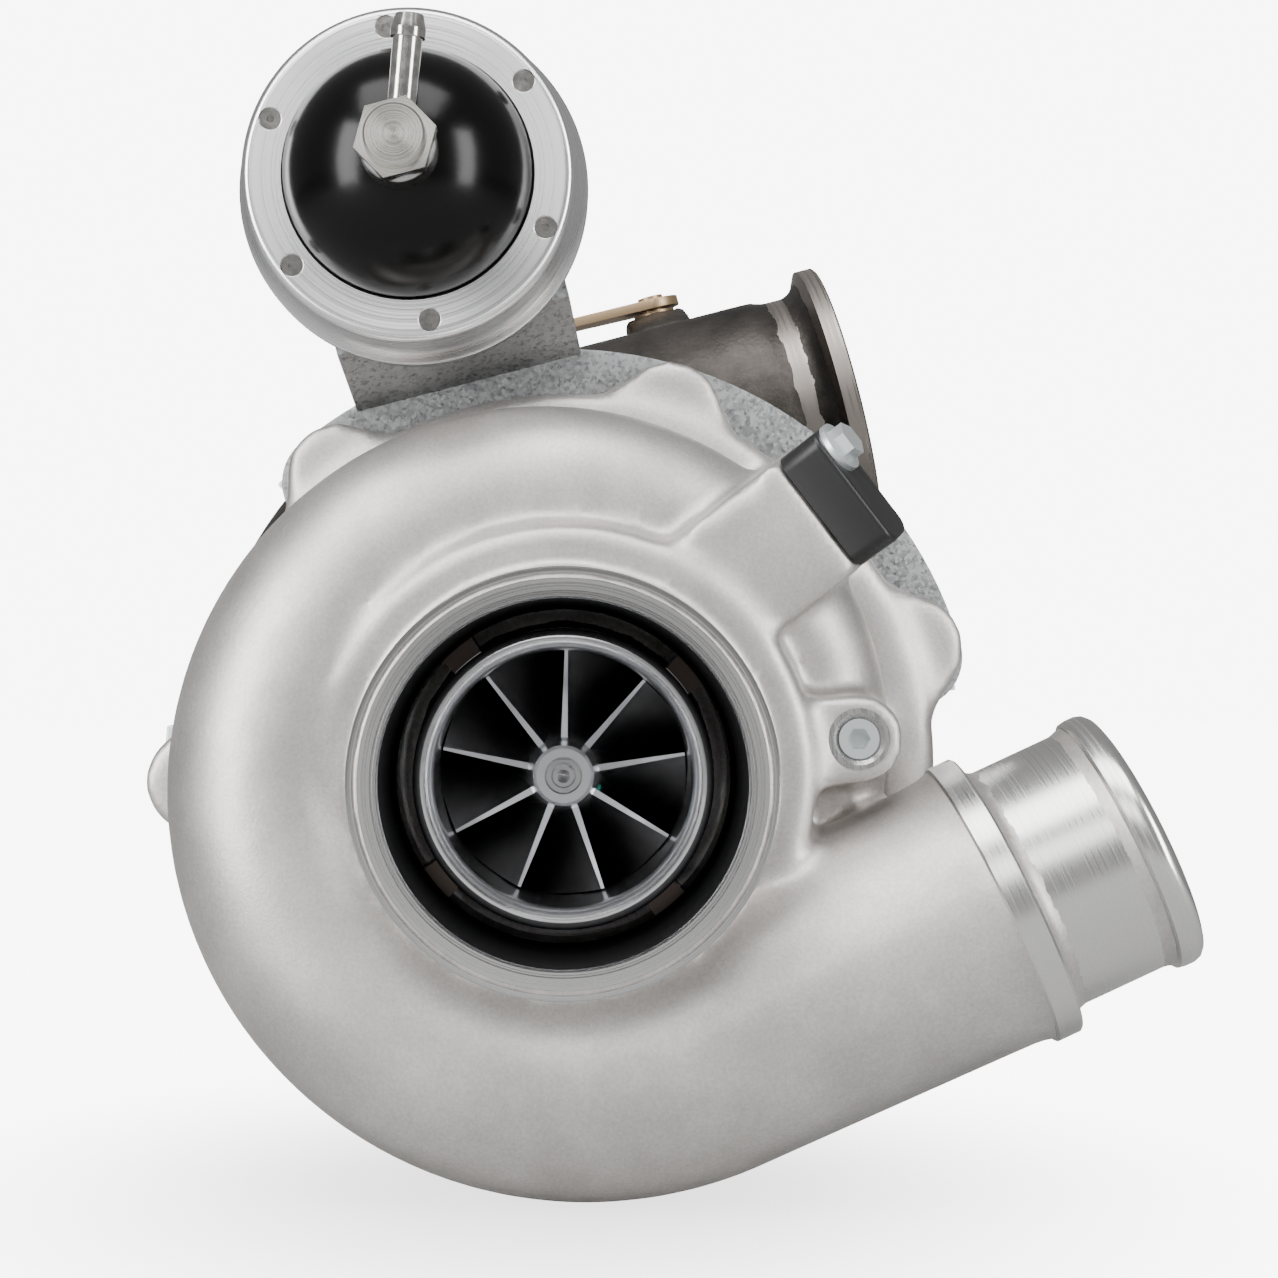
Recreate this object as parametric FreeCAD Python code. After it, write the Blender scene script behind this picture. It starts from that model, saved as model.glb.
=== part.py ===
"""Ball-bearing turbocharger with a ported compressor cover and an internal wastegate.

Millimetres. The origin is on the shaft axis, in the plane of the compressor inlet face.
+X points right and +Z up as seen by someone who looks into the inlet; +Y points back to the turbine.
Angles are counterclockwise in that view, from +X. The hot side and the actuator are clocked together
by CLOCK, as a workshop turns them about the shaft before it tightens the clamps.
"""
import FreeCAD
import Part
import math
import os

V = FreeCAD.Vector
ORIGIN = V(0, 0, 0)
SHAFT_AXIS = V(0, 1, 0)

# ---- driving dimensions -------------------------------------------------------------------
CLOCK = 14.5                 # turn of the hot side and the actuator about the shaft, degrees

INLET_RADIUS = 50.8          # hose neck of the inlet, for a 101.6 mm hose
INLET_LENGTH = 26.0
INLET_BORE_RADIUS = 43.6     # at the face; it narrows to PORT_RADIUS
PORT_RADIUS = 42.4           # outer wall of the annular port around the wheel
PORT_DEPTH = 55.0            # inlet face to the bottom of the annular port
BORE_TAPER_LENGTH = 29.0

WHEEL_INDUCER_RADIUS = 30.8
WHEEL_RADIUS = 38.0
WHEEL_EYE_Y = 47.0           # blade tips start here
WHEEL_EXIT_Y = 71.5          # blade tips end here
WHEEL_BACK_Y = 77.0
WHEEL_NOSE_Y = 33.0
WHEEL_NOSE_RADIUS = 7.5
WHEEL_BLADES = 9
BLADE_END = 0.985            # share of the hub line a blade covers, so it stops inside the rim
WHEEL_FIRST_BLADE = 8.7      # angle of one leading edge, degrees
WHEEL_WRAP = 58.0            # turn of a blade from inlet to exit, degrees
TIP_CLEARANCE = 0.45

DIFFUSER_FRONT_Y = 71.1
DIFFUSER_BACK_Y = 76.0
DIFFUSER_RADIUS = 68.0

SCROLL_REAR_Y = 78.0         # rearmost line of the scroll's inside
SCROLL_WALL = 5.0
SCROLL_FIRST_ANGLE = -20.0
SCROLL_LAST_ANGLE = 295.0
SCROLL_FIRST_RADIUS = 10.2   # outside radius of the section at the first angle
SCROLL_LAST_RADIUS = 34.3    # and at the last one
SCROLL_FIRST_CENTRE = 71.0   # radius of the section centres
SCROLL_LAST_CENTRE = 75.8
SCROLL_STEPS = 14

DISCHARGE_LENGTH = 83.0      # last scroll section to the collar
DISCHARGE_COLLAR_RADIUS = 37.35
DISCHARGE_COLLAR_LENGTH = 7.0
DISCHARGE_RADIUS = 31.75     # hose neck of the outlet, for a 63.5 mm hose
DISCHARGE_NECK_LENGTH = 27.5
BEAD_RADIUS = 33.8
BEAD_LENGTH = 8.0
DISCHARGE_BORE_RADIUS = 28.8

COVER_FLANGE_RADIUS = 98.5
COVER_FLANGE_FRONT_Y = 80.0
COVER_BACK_Y = 97.0
EAR_RADIUS = 14.0
EAR_PITCH_RADIUS = 97.5
EAR_FRONT_Y = 83.0
EAR_FIRST_ANGLE = 18.4
EAR_SPACING = 54.8
EAR_COUNT = 6

BACKPLATE_RADIUS = 84.0
SEAT_CLEARANCE = 0.05        # between parts that are pushed together and clamped
CLAMP_PLATE_THICKNESS = 4.5
CLAMP_PLATE_INNER_RADIUS = 77.0
CLAMP_PLATE_OUTER_RADIUS = 108.0
BOLT_RADIUS = 4.0            # M8 cover bolts
HOLE_CLEARANCE = 0.4         # around a bolt that passes through

BRACKET_THICKNESS = 7.0
BRACKET_OUTER_RADIUS = 111.0
BRACKET_FIRST_ANGLE = 14.5
BRACKET_LAST_ANGLE = 131.5

SENSOR_ANGLE = 37.5          # the speed sensor pad points this way
SENSOR_TILT = 25.0           # and leans forward by this much
SENSOR_OFFSET = 12.8         # sideways from the shaft
SENSOR_WIDTH = 33.0
SENSOR_DEPTH = 16.0
SENSOR_PLUG_HEIGHT = 11.5
SENSOR_REACH = 88.5          # shaft to the front edge of the pad
SENSOR_PAD_Y = 31.0

LUG_ANGLE = 7.0
LUG_REACH = 73.6
LUG_RADIUS = 11.2
LUG_FRONT_Y = 35.0
PORT_PLUG_RADIUS = 5.0

SHAFT_RADIUS = 4.0
BEARING_FRONT_Y = 106.0
BEARING_REAR_Y = 125.0
BALL_RADIUS = 2.2
BALL_PITCH_RADIUS = 8.2
BALL_COUNT = 8
RACE_CLEARANCE = 0.05
SLEEVE_RADIUS = 13.0
RUNNING_CLEARANCE = 0.05

HOUSING_FRONT_Y = 97.0
HOUSING_FLANGE_RADIUS = 60.0
HOUSING_BODY_RADIUS = 34.0
JOINT_Y = 136.0              # plane where bearing housing and turbine housing meet
V_FLANGE_RADIUS = 52.0
OIL_AXIS_Y = 112.0
DRAIN_AXIS_Y = 108.5
WATER_AXIS_Y = 121.0
PAD_REACH = 45.0

TURBINE_RADIUS = 32.0
TURBINE_EXIT_RADIUS = 29.3
TURBINE_BACK_Y = 149.0
TURBINE_BLADES = 10
TURBINE_BLADE_START = 0.015  # share of the hub line in front of a blade, at the rim
NOZZLE_FRONT_Y = 151.5
NOZZLE_BACK_Y = 159.5
TURBINE_EXIT_Y = 174.0
TURBINE_SCROLL_FRONT_Y = 150.0
TURBINE_WALL = 6.0
TURBINE_FIRST_CENTRE = 80.0
TURBINE_LAST_CENTRE = 62.0
TURBINE_INLET_BORE = 30.0
TURBINE_LAST_BORE = 9.0
TURBINE_SWEEP = 320.0
INLET_FLANGE_REACH = 108.0
INLET_FLANGE_RADIUS = 41.3
OUTLET_BORE_RADIUS = 36.5
OUTLET_TUBE_RADIUS = 42.0
OUTLET_FLANGE_RADIUS = 45.0
OUTLET_END_Y = 262.0

CAN_HEIGHT = 153.5           # actuator axis above the shaft, before clocking
CAN_FRONT_Y = 35.0
CAN_RADIUS = 44.8
RING_RADIUS = 41.4
DOME_RADIUS = 30.8
DOME_HEIGHT = 28.0
ROD_RADIUS = 3.0
STROKE = 12.5
PISTON_RADIUS = 20.0
RING_SCREW_PITCH_RADIUS = 36.5
RING_SCREW_FIRST_ANGLE = 38.5

CRANK_LENGTH = 36.0
CRANK_SWING = 20.0           # degrees over the stroke
CRANK_X = 62.0               # crank shaft, before clocking
CRANK_Y = 226.0
CRANK_RADIUS = 4.0
LEVER_BOTTOM = 126.0
LEVER_THICKNESS = 3.0
PIN_RADIUS = 3.0
EYE_CLEARANCE = 0.45         # open pivot of the linkage
FLAP_X = 34.0
FLAP_RADIUS = 13.5
FLAP_PORT_RADIUS = 11.0
FLAP_SEAT_Y = 218.0

NECK_RELIEF = 3.2            # machined free around the inlet neck, for the hose
RING_BACK_Y = CAN_FRONT_Y + 6.6
DIAPHRAGM_Y = RING_BACK_Y + 1.6
BODY_FRONT_Y = DIAPHRAGM_Y + 1.6
CAN_BACK_Y = CAN_FRONT_Y + 31.0
NECK_RADIUS = 11.0           # threaded neck of the actuator body
NECK_END_Y = CAN_BACK_Y + 16.0
DOME_TOP_Y = CAN_FRONT_Y - DOME_HEIGHT
HOSE_ANGLE = 85.0
EYE_HEIGHT = LEVER_BOTTOM + LEVER_THICKNESS + 2.6
PIN_TOP = LEVER_BOTTOM + LEVER_THICKNESS + 7.0
INSERT_RADIUS = 36.3         # outside of the bell-mouthed ring
BACKPLATE_SCREW_PITCH = 50.0
CLAMP_ROOT_RADIUS = 47.2     # V-band clamp: inner lips, flange crest and back
CLAMP_CREST_RADIUS = 52.1
CLAMP_BACK_RADIUS = 54.3
CLAMP_BOLT_REACH = 59.0
CLAMP_BOLT_ANGLE = -35.0
JACKET_INNER_RADIUS = 19.0
JACKET_OUTER_RADIUS = 28.0
SPRING_TURNS = 5
SPRING_WIRE_RADIUS = 0.95
SPRING_COIL_RADIUS = 13.0
SPRING_STEPS = 16            # sections in one turn
SPRING_SIDES = 12            # sides of the wire's section


# ---- shared shapes ------------------------------------------------------------------------
def outline(points):
    """Closed face in the X-Y plane. A pair of points stands for the middle and end of an arc."""
    corner = V(points[0][0], points[0][1], 0)
    first = corner
    edges = []
    for entry in points[1:] + [points[0]]:
        if isinstance(entry[0], tuple):
            middle = V(entry[0][0], entry[0][1], 0)
            end = V(entry[1][0], entry[1][1], 0)
            edges.append(Part.Arc(corner, middle, end).toShape())
        else:
            end = V(entry[0], entry[1], 0)
            if end.distanceToPoint(corner) < 1e-6:
                continue
            edges.append(Part.makeLine(corner, end))
        corner = end
    if corner.distanceToPoint(first) > 1e-6:
        edges.append(Part.makeLine(corner, first))
    return Part.Face(Part.Wire(edges))


def outward(solid):
    """The same solid with its faces pointing out."""
    if solid.Volume < 0:
        solid.reverse()
    return solid


def turned(points):
    """Solid turned about the shaft axis; points are (radius, y)."""
    return outward(outline(points).revolve(ORIGIN, SHAFT_AXIS, 360))


def disc(radius, front, back, x=0.0, z=0.0):
    """Cylinder along Y."""
    return Part.makeCylinder(radius, back - front, V(x, front, z), SHAFT_AXIS)


def ring(outer, inner, front, back, x=0.0, z=0.0):
    """Tube along Y."""
    return disc(outer, front, back, x, z).cut(disc(inner, front - 1, back + 1, x, z))


def post(radius, bottom, top, x, y):
    """Cylinder along Z."""
    return Part.makeCylinder(radius, top - bottom, V(x, y, bottom), V(0, 0, 1))


def stub(radius, start, direction, length):
    """Cylinder from a point along a direction."""
    return Part.makeCylinder(radius, length, start, direction)


def block(x0, x1, y0, y1, z0, z1):
    """Box between two corners."""
    return Part.makeBox(x1 - x0, y1 - y0, z1 - z0, V(x0, y0, z0))


def prism(points, thickness, place):
    """Polygon in the X-Y plane, extruded along +Z and put in place by a function."""
    return place(outward(outline(points).extrude(V(0, 0, thickness))))


def hexagon(across_flats, thickness):
    """Hexagonal prism on the origin along +Z."""
    corner_radius = across_flats / math.sqrt(3)
    corners = []
    for step in range(6):
        angle = math.radians(60 * step)
        corners.append((corner_radius * math.cos(angle), corner_radius * math.sin(angle)))
    return outline(corners).extrude(V(0, 0, thickness))


def aimed(shape, base, direction):
    """Move a shape made along +Z so that it starts at base and points along direction."""
    moved = shape.copy()
    moved.Placement = FreeCAD.Placement(base, FreeCAD.Rotation(V(0, 0, 1), direction))
    return moved


def at_angle(shape, angle):
    """Turn a shape about the shaft, counterclockwise seen from the inlet."""
    moved = shape.copy()
    moved.rotate(ORIGIN, SHAFT_AXIS, -angle)
    return moved


def clocked(shape):
    """Turn a hot-side piece to its clocked place."""
    return at_angle(shape, CLOCK)


def joined(shapes):
    """One solid from several that overlap or touch."""
    return shapes[0].multiFuse(shapes[1:])


def polar(radius, angle, y):
    """Point at a radius and an angle around the shaft."""
    return V(radius * math.cos(math.radians(angle)), y, radius * math.sin(math.radians(angle)))


def sector(inner, outer, front, back, first, last):
    """Part of a flat ring between two angles."""
    face = outline([(inner, front), (outer, front), (outer, back), (inner, back)])
    return at_angle(outward(face.revolve(ORIGIN, SHAFT_AXIS, -(last - first))), first)


def curve_wire(rows, closers):
    """Face from one interpolated curve of (radius, y) points and straight lines back to its start."""
    points = [V(radius, y, 0) for radius, y in rows]
    spline = Part.BSplineCurve()
    spline.interpolate(points)
    edges = [spline.toShape()]
    corner = points[-1]
    for radius, y in closers:
        edges.append(Part.makeLine(corner, V(radius, y, 0)))
        corner = V(radius, y, 0)
    edges.append(Part.makeLine(corner, points[0]))
    return Part.Face(Part.Wire(edges))


def scroll_section(angle, centre_radius, centre_y, radius):
    """Circular section of a scroll at an angle around the shaft."""
    wire = Part.Wire(Part.makeCircle(radius, V(centre_radius, centre_y, 0), V(0, 0, 1)))
    wire.rotate(ORIGIN, SHAFT_AXIS, -angle)
    return wire


def bolt(radius, length, head_flats, head_height, base, direction, flange_radius=0.0):
    """Hexagon bolt: base is under the head, direction points from the shank to the head."""
    shank = aimed(Part.makeCylinder(radius, length), base - direction * length, direction)
    head = aimed(hexagon(head_flats, head_height), base, direction)
    pieces = [shank, head]
    if flange_radius > 0:
        pieces.append(aimed(Part.makeCylinder(flange_radius, 0.3 * head_height), base, direction))
    return joined(pieces)


def blade(surface_point, stations, heights, thickness):
    """Thin blade from a function of two shares that gives (radius, angle in radians, y)."""
    sides = []
    for sign in (1, -1):
        grid = []
        for i in range(stations + 1):
            row = []
            for j in range(heights + 1):
                radius, angle, y = surface_point(i / stations, j / heights)
                angle += sign * 0.5 * thickness(i / stations, j / heights) / radius
                row.append(V(radius * math.cos(angle), y, radius * math.sin(angle)))
            grid.append(row)
        surface = Part.BSplineSurface()
        surface.interpolate(grid)
        sides.append(surface.toShape())
    rims = []
    for edge in sides[0].Edges:
        middle = edge.valueAt(0.5 * (edge.FirstParameter + edge.LastParameter))
        partner = min(sides[1].Edges, key=lambda other: middle.distanceToPoint(
            other.valueAt(0.5 * (other.FirstParameter + other.LastParameter))))
        rims.append(Part.makeRuledSurface(edge, partner))
    shell = Part.makeShell(sides + rims)
    shell.sewShape()
    return outward(Part.makeSolid(shell))


# ---- compressor ---------------------------------------------------------------------------
def wheel_tip(share, clearance=0.0):
    """Point (radius, y) on the line of the compressor blade tips, moved out by a clearance."""
    turn = math.radians(90 * share)
    rise = WHEEL_RADIUS - WHEEL_INDUCER_RADIUS
    run = WHEEL_EXIT_Y - WHEEL_EYE_Y
    along = math.hypot(rise * math.sin(turn), run * math.cos(turn))
    radius = WHEEL_INDUCER_RADIUS + rise * (1 - math.cos(turn))
    y = WHEEL_EYE_Y + run * math.sin(turn)
    radius += clearance * run * math.cos(turn) / along
    y -= clearance * rise * math.sin(turn) / along
    return radius, y


def wheel_hub(share):
    """Point (radius, y) on the hub line of the compressor wheel."""
    turn = math.radians(90 * share)
    radius = 9.0 + (WHEEL_RADIUS - 9.0) * (1 - math.cos(turn))
    y = WHEEL_EYE_Y - 3.0 + (WHEEL_BACK_Y - 1.2 - WHEEL_EYE_Y + 3.0) * math.sin(turn)
    return radius, y


def compressor_wheel():
    """Milled wheel: hub, long nose and full blades that lean back against the rotation."""
    hub_line = [wheel_hub(share / 8) for share in range(9)]
    hub = curve_wire(hub_line, [
        (WHEEL_RADIUS, WHEEL_BACK_Y),
        (SHAFT_RADIUS - 1 + SEAT_CLEARANCE, WHEEL_BACK_Y),
        (SHAFT_RADIUS - 1 + SEAT_CLEARANCE, WHEEL_NOSE_Y + 5),
        (4.6, WHEEL_NOSE_Y + 5),
        (4.6, WHEEL_NOSE_Y),
        (WHEEL_NOSE_RADIUS - 0.8, WHEEL_NOSE_Y),
        (WHEEL_NOSE_RADIUS, WHEEL_NOSE_Y + 0.8),
        (8.2, WHEEL_EYE_Y - 5.0),
    ]).revolve(ORIGIN, SHAFT_AXIS, 360)

    def point(along, up):
        along = along * BLADE_END
        hub_radius, hub_y = wheel_hub(along)
        tip_radius, tip_y = wheel_tip(along)
        rooted = -0.05 + 1.05 * up
        radius = hub_radius + (tip_radius - hub_radius) * rooted
        y = hub_y + (tip_y - hub_y) * rooted
        turn = WHEEL_FIRST_BLADE - WHEEL_WRAP * (0.75 * math.sin(0.5 * math.pi * along) + 0.25 * along ** 2)
        return radius, math.radians(turn), y

    def thickness(along, up):
        return 1.7 - 0.9 * up + 0.4 * along

    first = blade(point, 8, 4, thickness)
    pieces = [outward(hub)]
    for step in range(WHEEL_BLADES):
        pieces.append(at_angle(first, 360 / WHEEL_BLADES * step))
    return joined(pieces)


def compressor_nut():
    """Slim shaft nut that sits in the nose of the wheel."""
    body = aimed(hexagon(7.8, 4.0), V(0, WHEEL_NOSE_Y + 4.9, 0), V(0, -1, 0))
    collar = disc(4.45, WHEEL_NOSE_Y + 2.4, WHEEL_NOSE_Y + 4.9)
    return joined([body.common(disc(4.3, WHEEL_NOSE_Y, WHEEL_BACK_Y)), collar]).cut(
        disc(SHAFT_RADIUS - 1, 0, WHEEL_BACK_Y))


def scroll_radius(angle):
    """Outside radius of the compressor scroll section: its area grows evenly with the angle."""
    share = (angle - SCROLL_FIRST_ANGLE) / (SCROLL_LAST_ANGLE - SCROLL_FIRST_ANGLE)
    first = SCROLL_FIRST_RADIUS ** 2
    return math.sqrt(first + share * (SCROLL_LAST_RADIUS ** 2 - first))


def compressor_scroll(inside):
    """Scroll of the compressor cover, its outside or its inside."""
    wires = []
    for step in range(SCROLL_STEPS + 1):
        share = step / SCROLL_STEPS
        angle = SCROLL_FIRST_ANGLE + share * (SCROLL_LAST_ANGLE - SCROLL_FIRST_ANGLE)
        centre = SCROLL_FIRST_CENTRE + (SCROLL_LAST_CENTRE - SCROLL_FIRST_CENTRE) * share ** 2.5
        inner = scroll_radius(angle) - SCROLL_WALL
        radius = inner if inside else inner + SCROLL_WALL
        wires.append(scroll_section(angle, centre, SCROLL_REAR_Y - inner, radius))
    return outward(Part.makeLoft(wires, True, False))


def discharge_line():
    """Start point and direction of the straight discharge."""
    inner = SCROLL_LAST_RADIUS - SCROLL_WALL
    start = polar(SCROLL_LAST_CENTRE, SCROLL_LAST_ANGLE, SCROLL_REAR_Y - inner)
    return start, polar(1.0, SCROLL_LAST_ANGLE + 90, 0)


def discharge(inside):
    """Straight discharge with its machined hose neck, along the end of the scroll."""
    start, along = discharge_line()
    collar = DISCHARGE_LENGTH
    neck = collar + DISCHARGE_COLLAR_LENGTH
    bead = neck + DISCHARGE_NECK_LENGTH
    end = bead + BEAD_LENGTH
    if inside:
        points = [
            (0, 0),
            (SCROLL_LAST_RADIUS - SCROLL_WALL, 0),
            (DISCHARGE_BORE_RADIUS, collar),
            (DISCHARGE_BORE_RADIUS, end + 1),
            (0, end + 1),
        ]
    else:
        points = [
            (0, 0),
            (SCROLL_LAST_RADIUS, 0),
            (SCROLL_LAST_RADIUS + 1.5, collar),
            (DISCHARGE_COLLAR_RADIUS - 0.6, collar),
            (DISCHARGE_COLLAR_RADIUS, collar + 0.6),
            (DISCHARGE_COLLAR_RADIUS, neck - 0.6),
            (DISCHARGE_COLLAR_RADIUS - 0.6, neck),
            (DISCHARGE_RADIUS, neck),
            (DISCHARGE_RADIUS, bead),
            ((BEAD_RADIUS - 0.3, bead + 1.2), (BEAD_RADIUS, bead + 3.0)),
            (BEAD_RADIUS, end - 3.0),
            ((BEAD_RADIUS - 1.2, end - 0.9), (DISCHARGE_RADIUS - 0.5, end)),
            (0, end),
        ]
    made = turned(points)
    made.Placement = FreeCAD.Placement(start, FreeCAD.Rotation(SHAFT_AXIS, along))
    return made


def ear_angles():
    """Angles of the cover bolts."""
    return [EAR_FIRST_ANGLE + EAR_SPACING * step for step in range(EAR_COUNT)]


def ear():
    """One bolt ear of the compressor cover at angle 0."""
    lobe = disc(EAR_RADIUS, EAR_FRONT_Y, COVER_BACK_Y, EAR_PITCH_RADIUS, 0)
    depth = COVER_BACK_Y - EAR_FRONT_Y
    near = COVER_FLANGE_RADIUS - 8.0
    far = EAR_PITCH_RADIUS + 6.0
    web = outline([(near, -25.0), (far, -12.6), (far, 12.6), (near, 25.0)]).extrude(V(0, 0, depth))
    web.rotate(ORIGIN, V(1, 0, 0), -90)
    web.translate(V(0, EAR_FRONT_Y, 0))
    return joined([lobe, outward(web)])


def sensor_axes():
    """Directions of the speed sensor pad: its normal, its width and its depth."""
    out = polar(1.0, SENSOR_ANGLE, 0)
    side = polar(1.0, SENSOR_ANGLE + 90, 0)
    tilt = math.radians(SENSOR_TILT)
    normal = out * math.cos(tilt) - SHAFT_AXIS * math.sin(tilt)
    depth = out * math.sin(tilt) + SHAFT_AXIS * math.cos(tilt)
    return out, side, normal, depth


def sensor_corner():
    """Middle of the front edge of the speed sensor pad."""
    out, side, _, _ = sensor_axes()
    return out * SENSOR_REACH + side * SENSOR_OFFSET + SHAFT_AXIS * SENSOR_PAD_Y


def sensor_boss():
    """Raised boss of the cover that carries the speed sensor opening."""
    depth_e = math.sin(math.radians(SENSOR_TILT)) * (SENSOR_DEPTH + 2)
    depth_y = math.cos(math.radians(SENSOR_TILT)) * (SENSOR_DEPTH + 2)
    points = [
        (46.0, 33.5),
        (58.0, 33.5),
        (SENSOR_REACH, SENSOR_PAD_Y),
        (SENSOR_REACH + depth_e, SENSOR_PAD_Y + depth_y),
        (SENSOR_REACH + 2.0, COVER_FLANGE_FRONT_Y + 3.0),
        (46.0, COVER_FLANGE_FRONT_Y + 3.0),
    ]
    made = outward(outline(points).extrude(V(0, 0, SENSOR_WIDTH + 1.0)))
    made.translate(V(0, 0, SENSOR_OFFSET - 0.5 * (SENSOR_WIDTH + 1.0)))
    return at_angle(made, SENSOR_ANGLE)


def lug():
    """Flat boss beside the inlet that holds the plugged boost port."""
    tip = disc(LUG_RADIUS, LUG_FRONT_Y, COVER_FLANGE_FRONT_Y + 3, LUG_REACH, 0)
    arm = block(46.0, LUG_REACH, LUG_FRONT_Y, COVER_FLANGE_FRONT_Y + 3, -LUG_RADIUS, LUG_RADIUS)
    return at_angle(joined([tip, arm]), LUG_ANGLE)


def cover_inside():
    """Everything that is hollow in the compressor cover around the shaft."""
    contour = [wheel_tip(0.21 + 0.79 * share / 6, TIP_CLEARANCE) for share in range(7)]
    contour[-1] = (contour[-1][0], DIFFUSER_FRONT_Y)
    return curve_wire(contour, [
        (DIFFUSER_RADIUS, DIFFUSER_FRONT_Y),
        (DIFFUSER_RADIUS, DIFFUSER_BACK_Y),
        (BACKPLATE_RADIUS + SEAT_CLEARANCE, DIFFUSER_BACK_Y),
        (BACKPLATE_RADIUS + SEAT_CLEARANCE, COVER_BACK_Y + 1),
        (0, COVER_BACK_Y + 1),
        (0, -1),
        (INLET_BORE_RADIUS, -1),
        (INLET_BORE_RADIUS, 0),
        (PORT_RADIUS, BORE_TAPER_LENGTH),
        (PORT_RADIUS, PORT_DEPTH),
        (contour[0][0], PORT_DEPTH),
    ]).revolve(ORIGIN, SHAFT_AXIS, 360)


def compressor_cover():
    """Cast compressor cover with its scroll, discharge, bolt ears, sensor boss and port lug."""
    core = turned([
        (0, 0),
        (INLET_RADIUS, 0),
        (INLET_RADIUS, INLET_LENGTH + 3),
        ((INLET_RADIUS + 1.8, INLET_LENGTH + 6.3), (INLET_RADIUS + 4.2, INLET_LENGTH + 5.2)),
        ((INLET_RADIUS + 7.8, INLET_LENGTH + 4.0), (INLET_RADIUS + 11.8, INLET_LENGTH + 8.4)),
        (INLET_RADIUS + 13.2, COVER_FLANGE_FRONT_Y),
        (COVER_FLANGE_RADIUS - 2, COVER_FLANGE_FRONT_Y),
        (COVER_FLANGE_RADIUS, COVER_FLANGE_FRONT_Y + 2),
        (COVER_FLANGE_RADIUS, COVER_BACK_Y),
        (0, COVER_BACK_Y),
    ])
    body = joined([core, compressor_scroll(False), discharge(False)])
    first_ear = ear()
    extras = [at_angle(first_ear, angle) for angle in ear_angles()]
    body = body.multiFuse(extras + [sensor_boss(), lug()])
    recess = sector(BACKPLATE_RADIUS + 2.5, 140, COVER_BACK_Y - BRACKET_THICKNESS, COVER_BACK_Y + 1,
                    EAR_FIRST_ANGLE - 15, EAR_FIRST_ANGLE + 2 * EAR_SPACING + 14)
    holes = []
    for angle in ear_angles():
        centre = polar(EAR_PITCH_RADIUS, angle, 0)
        radius = BOLT_RADIUS + SEAT_CLEARANCE
        holes.append(disc(radius, EAR_FRONT_Y + 3, COVER_BACK_Y + 1, centre.x, centre.z))
    hole = polar(LUG_REACH, LUG_ANGLE, 0)
    port = [
        disc(PORT_PLUG_RADIUS + SEAT_CLEARANCE, LUG_FRONT_Y - 1, LUG_FRONT_Y + 12, hole.x, hole.z),
        disc(1.6, LUG_FRONT_Y + 11, SCROLL_REAR_Y - 8, hole.x, hole.z),
    ]
    _, side, normal, depth = sensor_axes()
    pad = sensor_corner() + depth * (0.5 * SENSOR_DEPTH)
    sensor_holes = [
        stub(5.0, pad - side * 7.0 + normal, normal * -1, 46.0),
        stub(3.05, pad + side * 10.0 + normal, normal * -1, 15.0),
    ]
    relief = ring(INLET_RADIUS + NECK_RELIEF, INLET_RADIUS, -1, INLET_LENGTH + 3)
    for void in (relief, outward(cover_inside()), compressor_scroll(True), discharge(True)):
        body = body.cut(void)
    return body.cut(Part.makeCompound([recess] + holes + port + sensor_holes))


def ported_shroud_insert():
    """Bell-mouthed ring in the inlet that makes the annular port; four webs hold it."""
    bore = WHEEL_INDUCER_RADIUS + TIP_CLEARANCE + 0.05
    outer = INSERT_RADIUS
    bell = turned([
        (bore, PORT_DEPTH - 3),
        (bore, 26.0),
        ((bore + 0.55, 20.2), (bore + 2.3, 18.0)),
        ((outer - 0.7, 18.6), (outer, 21.0)),
        (outer, PORT_DEPTH - 3),
    ])
    carrier = ring(PORT_RADIUS - 0.02, PORT_RADIUS - 1.4, 32.0, 46.0)
    pieces = [bell, carrier]
    for step in range(4):
        web = sector(outer - 1, PORT_RADIUS - 1, 30.0, 46.0, -6.5, 6.5)
        pieces.append(at_angle(web, 40 + 90 * step))
    return joined(pieces)


def compressor_backplate():
    """Plate that closes the compressor behind the wheel, with its seal bore and O-ring groove."""
    groove_front = COVER_BACK_Y - 11
    return turned([
        (9.0 + RUNNING_CLEARANCE, WHEEL_BACK_Y + 0.6),
        (WHEEL_RADIUS + 0.6, WHEEL_BACK_Y + 0.6),
        (WHEEL_RADIUS + 0.6, DIFFUSER_BACK_Y),
        (BACKPLATE_RADIUS, DIFFUSER_BACK_Y),
        (BACKPLATE_RADIUS, groove_front),
        (BACKPLATE_RADIUS - 2.2, groove_front),
        (BACKPLATE_RADIUS - 2.2, groove_front + 3),
        (BACKPLATE_RADIUS, groove_front + 3),
        (BACKPLATE_RADIUS, COVER_BACK_Y),
        (42.0, HOUSING_FRONT_Y),
        (38.0, HOUSING_FRONT_Y - 10),
        (20.0, HOUSING_FRONT_Y - 10),
        (18.0, HOUSING_FRONT_Y - 2.0),
        (18.0, HOUSING_FRONT_Y + 1.0),
        (9.0 + RUNNING_CLEARANCE, HOUSING_FRONT_Y + 1.0),
    ]).cut(Part.makeCompound([
        disc(3.05, HOUSING_FRONT_Y - 11, HOUSING_FRONT_Y + 1, polar(50, a, 0).x, polar(50, a, 0).z)
        for a in backplate_screw_angles()]))


def backplate_screw_angles():
    """Angles of the screws between bearing housing and backplate."""
    return [45 + 90 * step for step in range(4)]


def cover_o_ring():
    """O-ring between backplate and cover."""
    middle = COVER_BACK_Y - 9.5
    section = 0.5 * (2.2 + SEAT_CLEARANCE) - 0.04
    return Part.makeTorus(BACKPLATE_RADIUS + SEAT_CLEARANCE - 0.02 - section, section,
                          V(0, middle, 0), SHAFT_AXIS)


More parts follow.
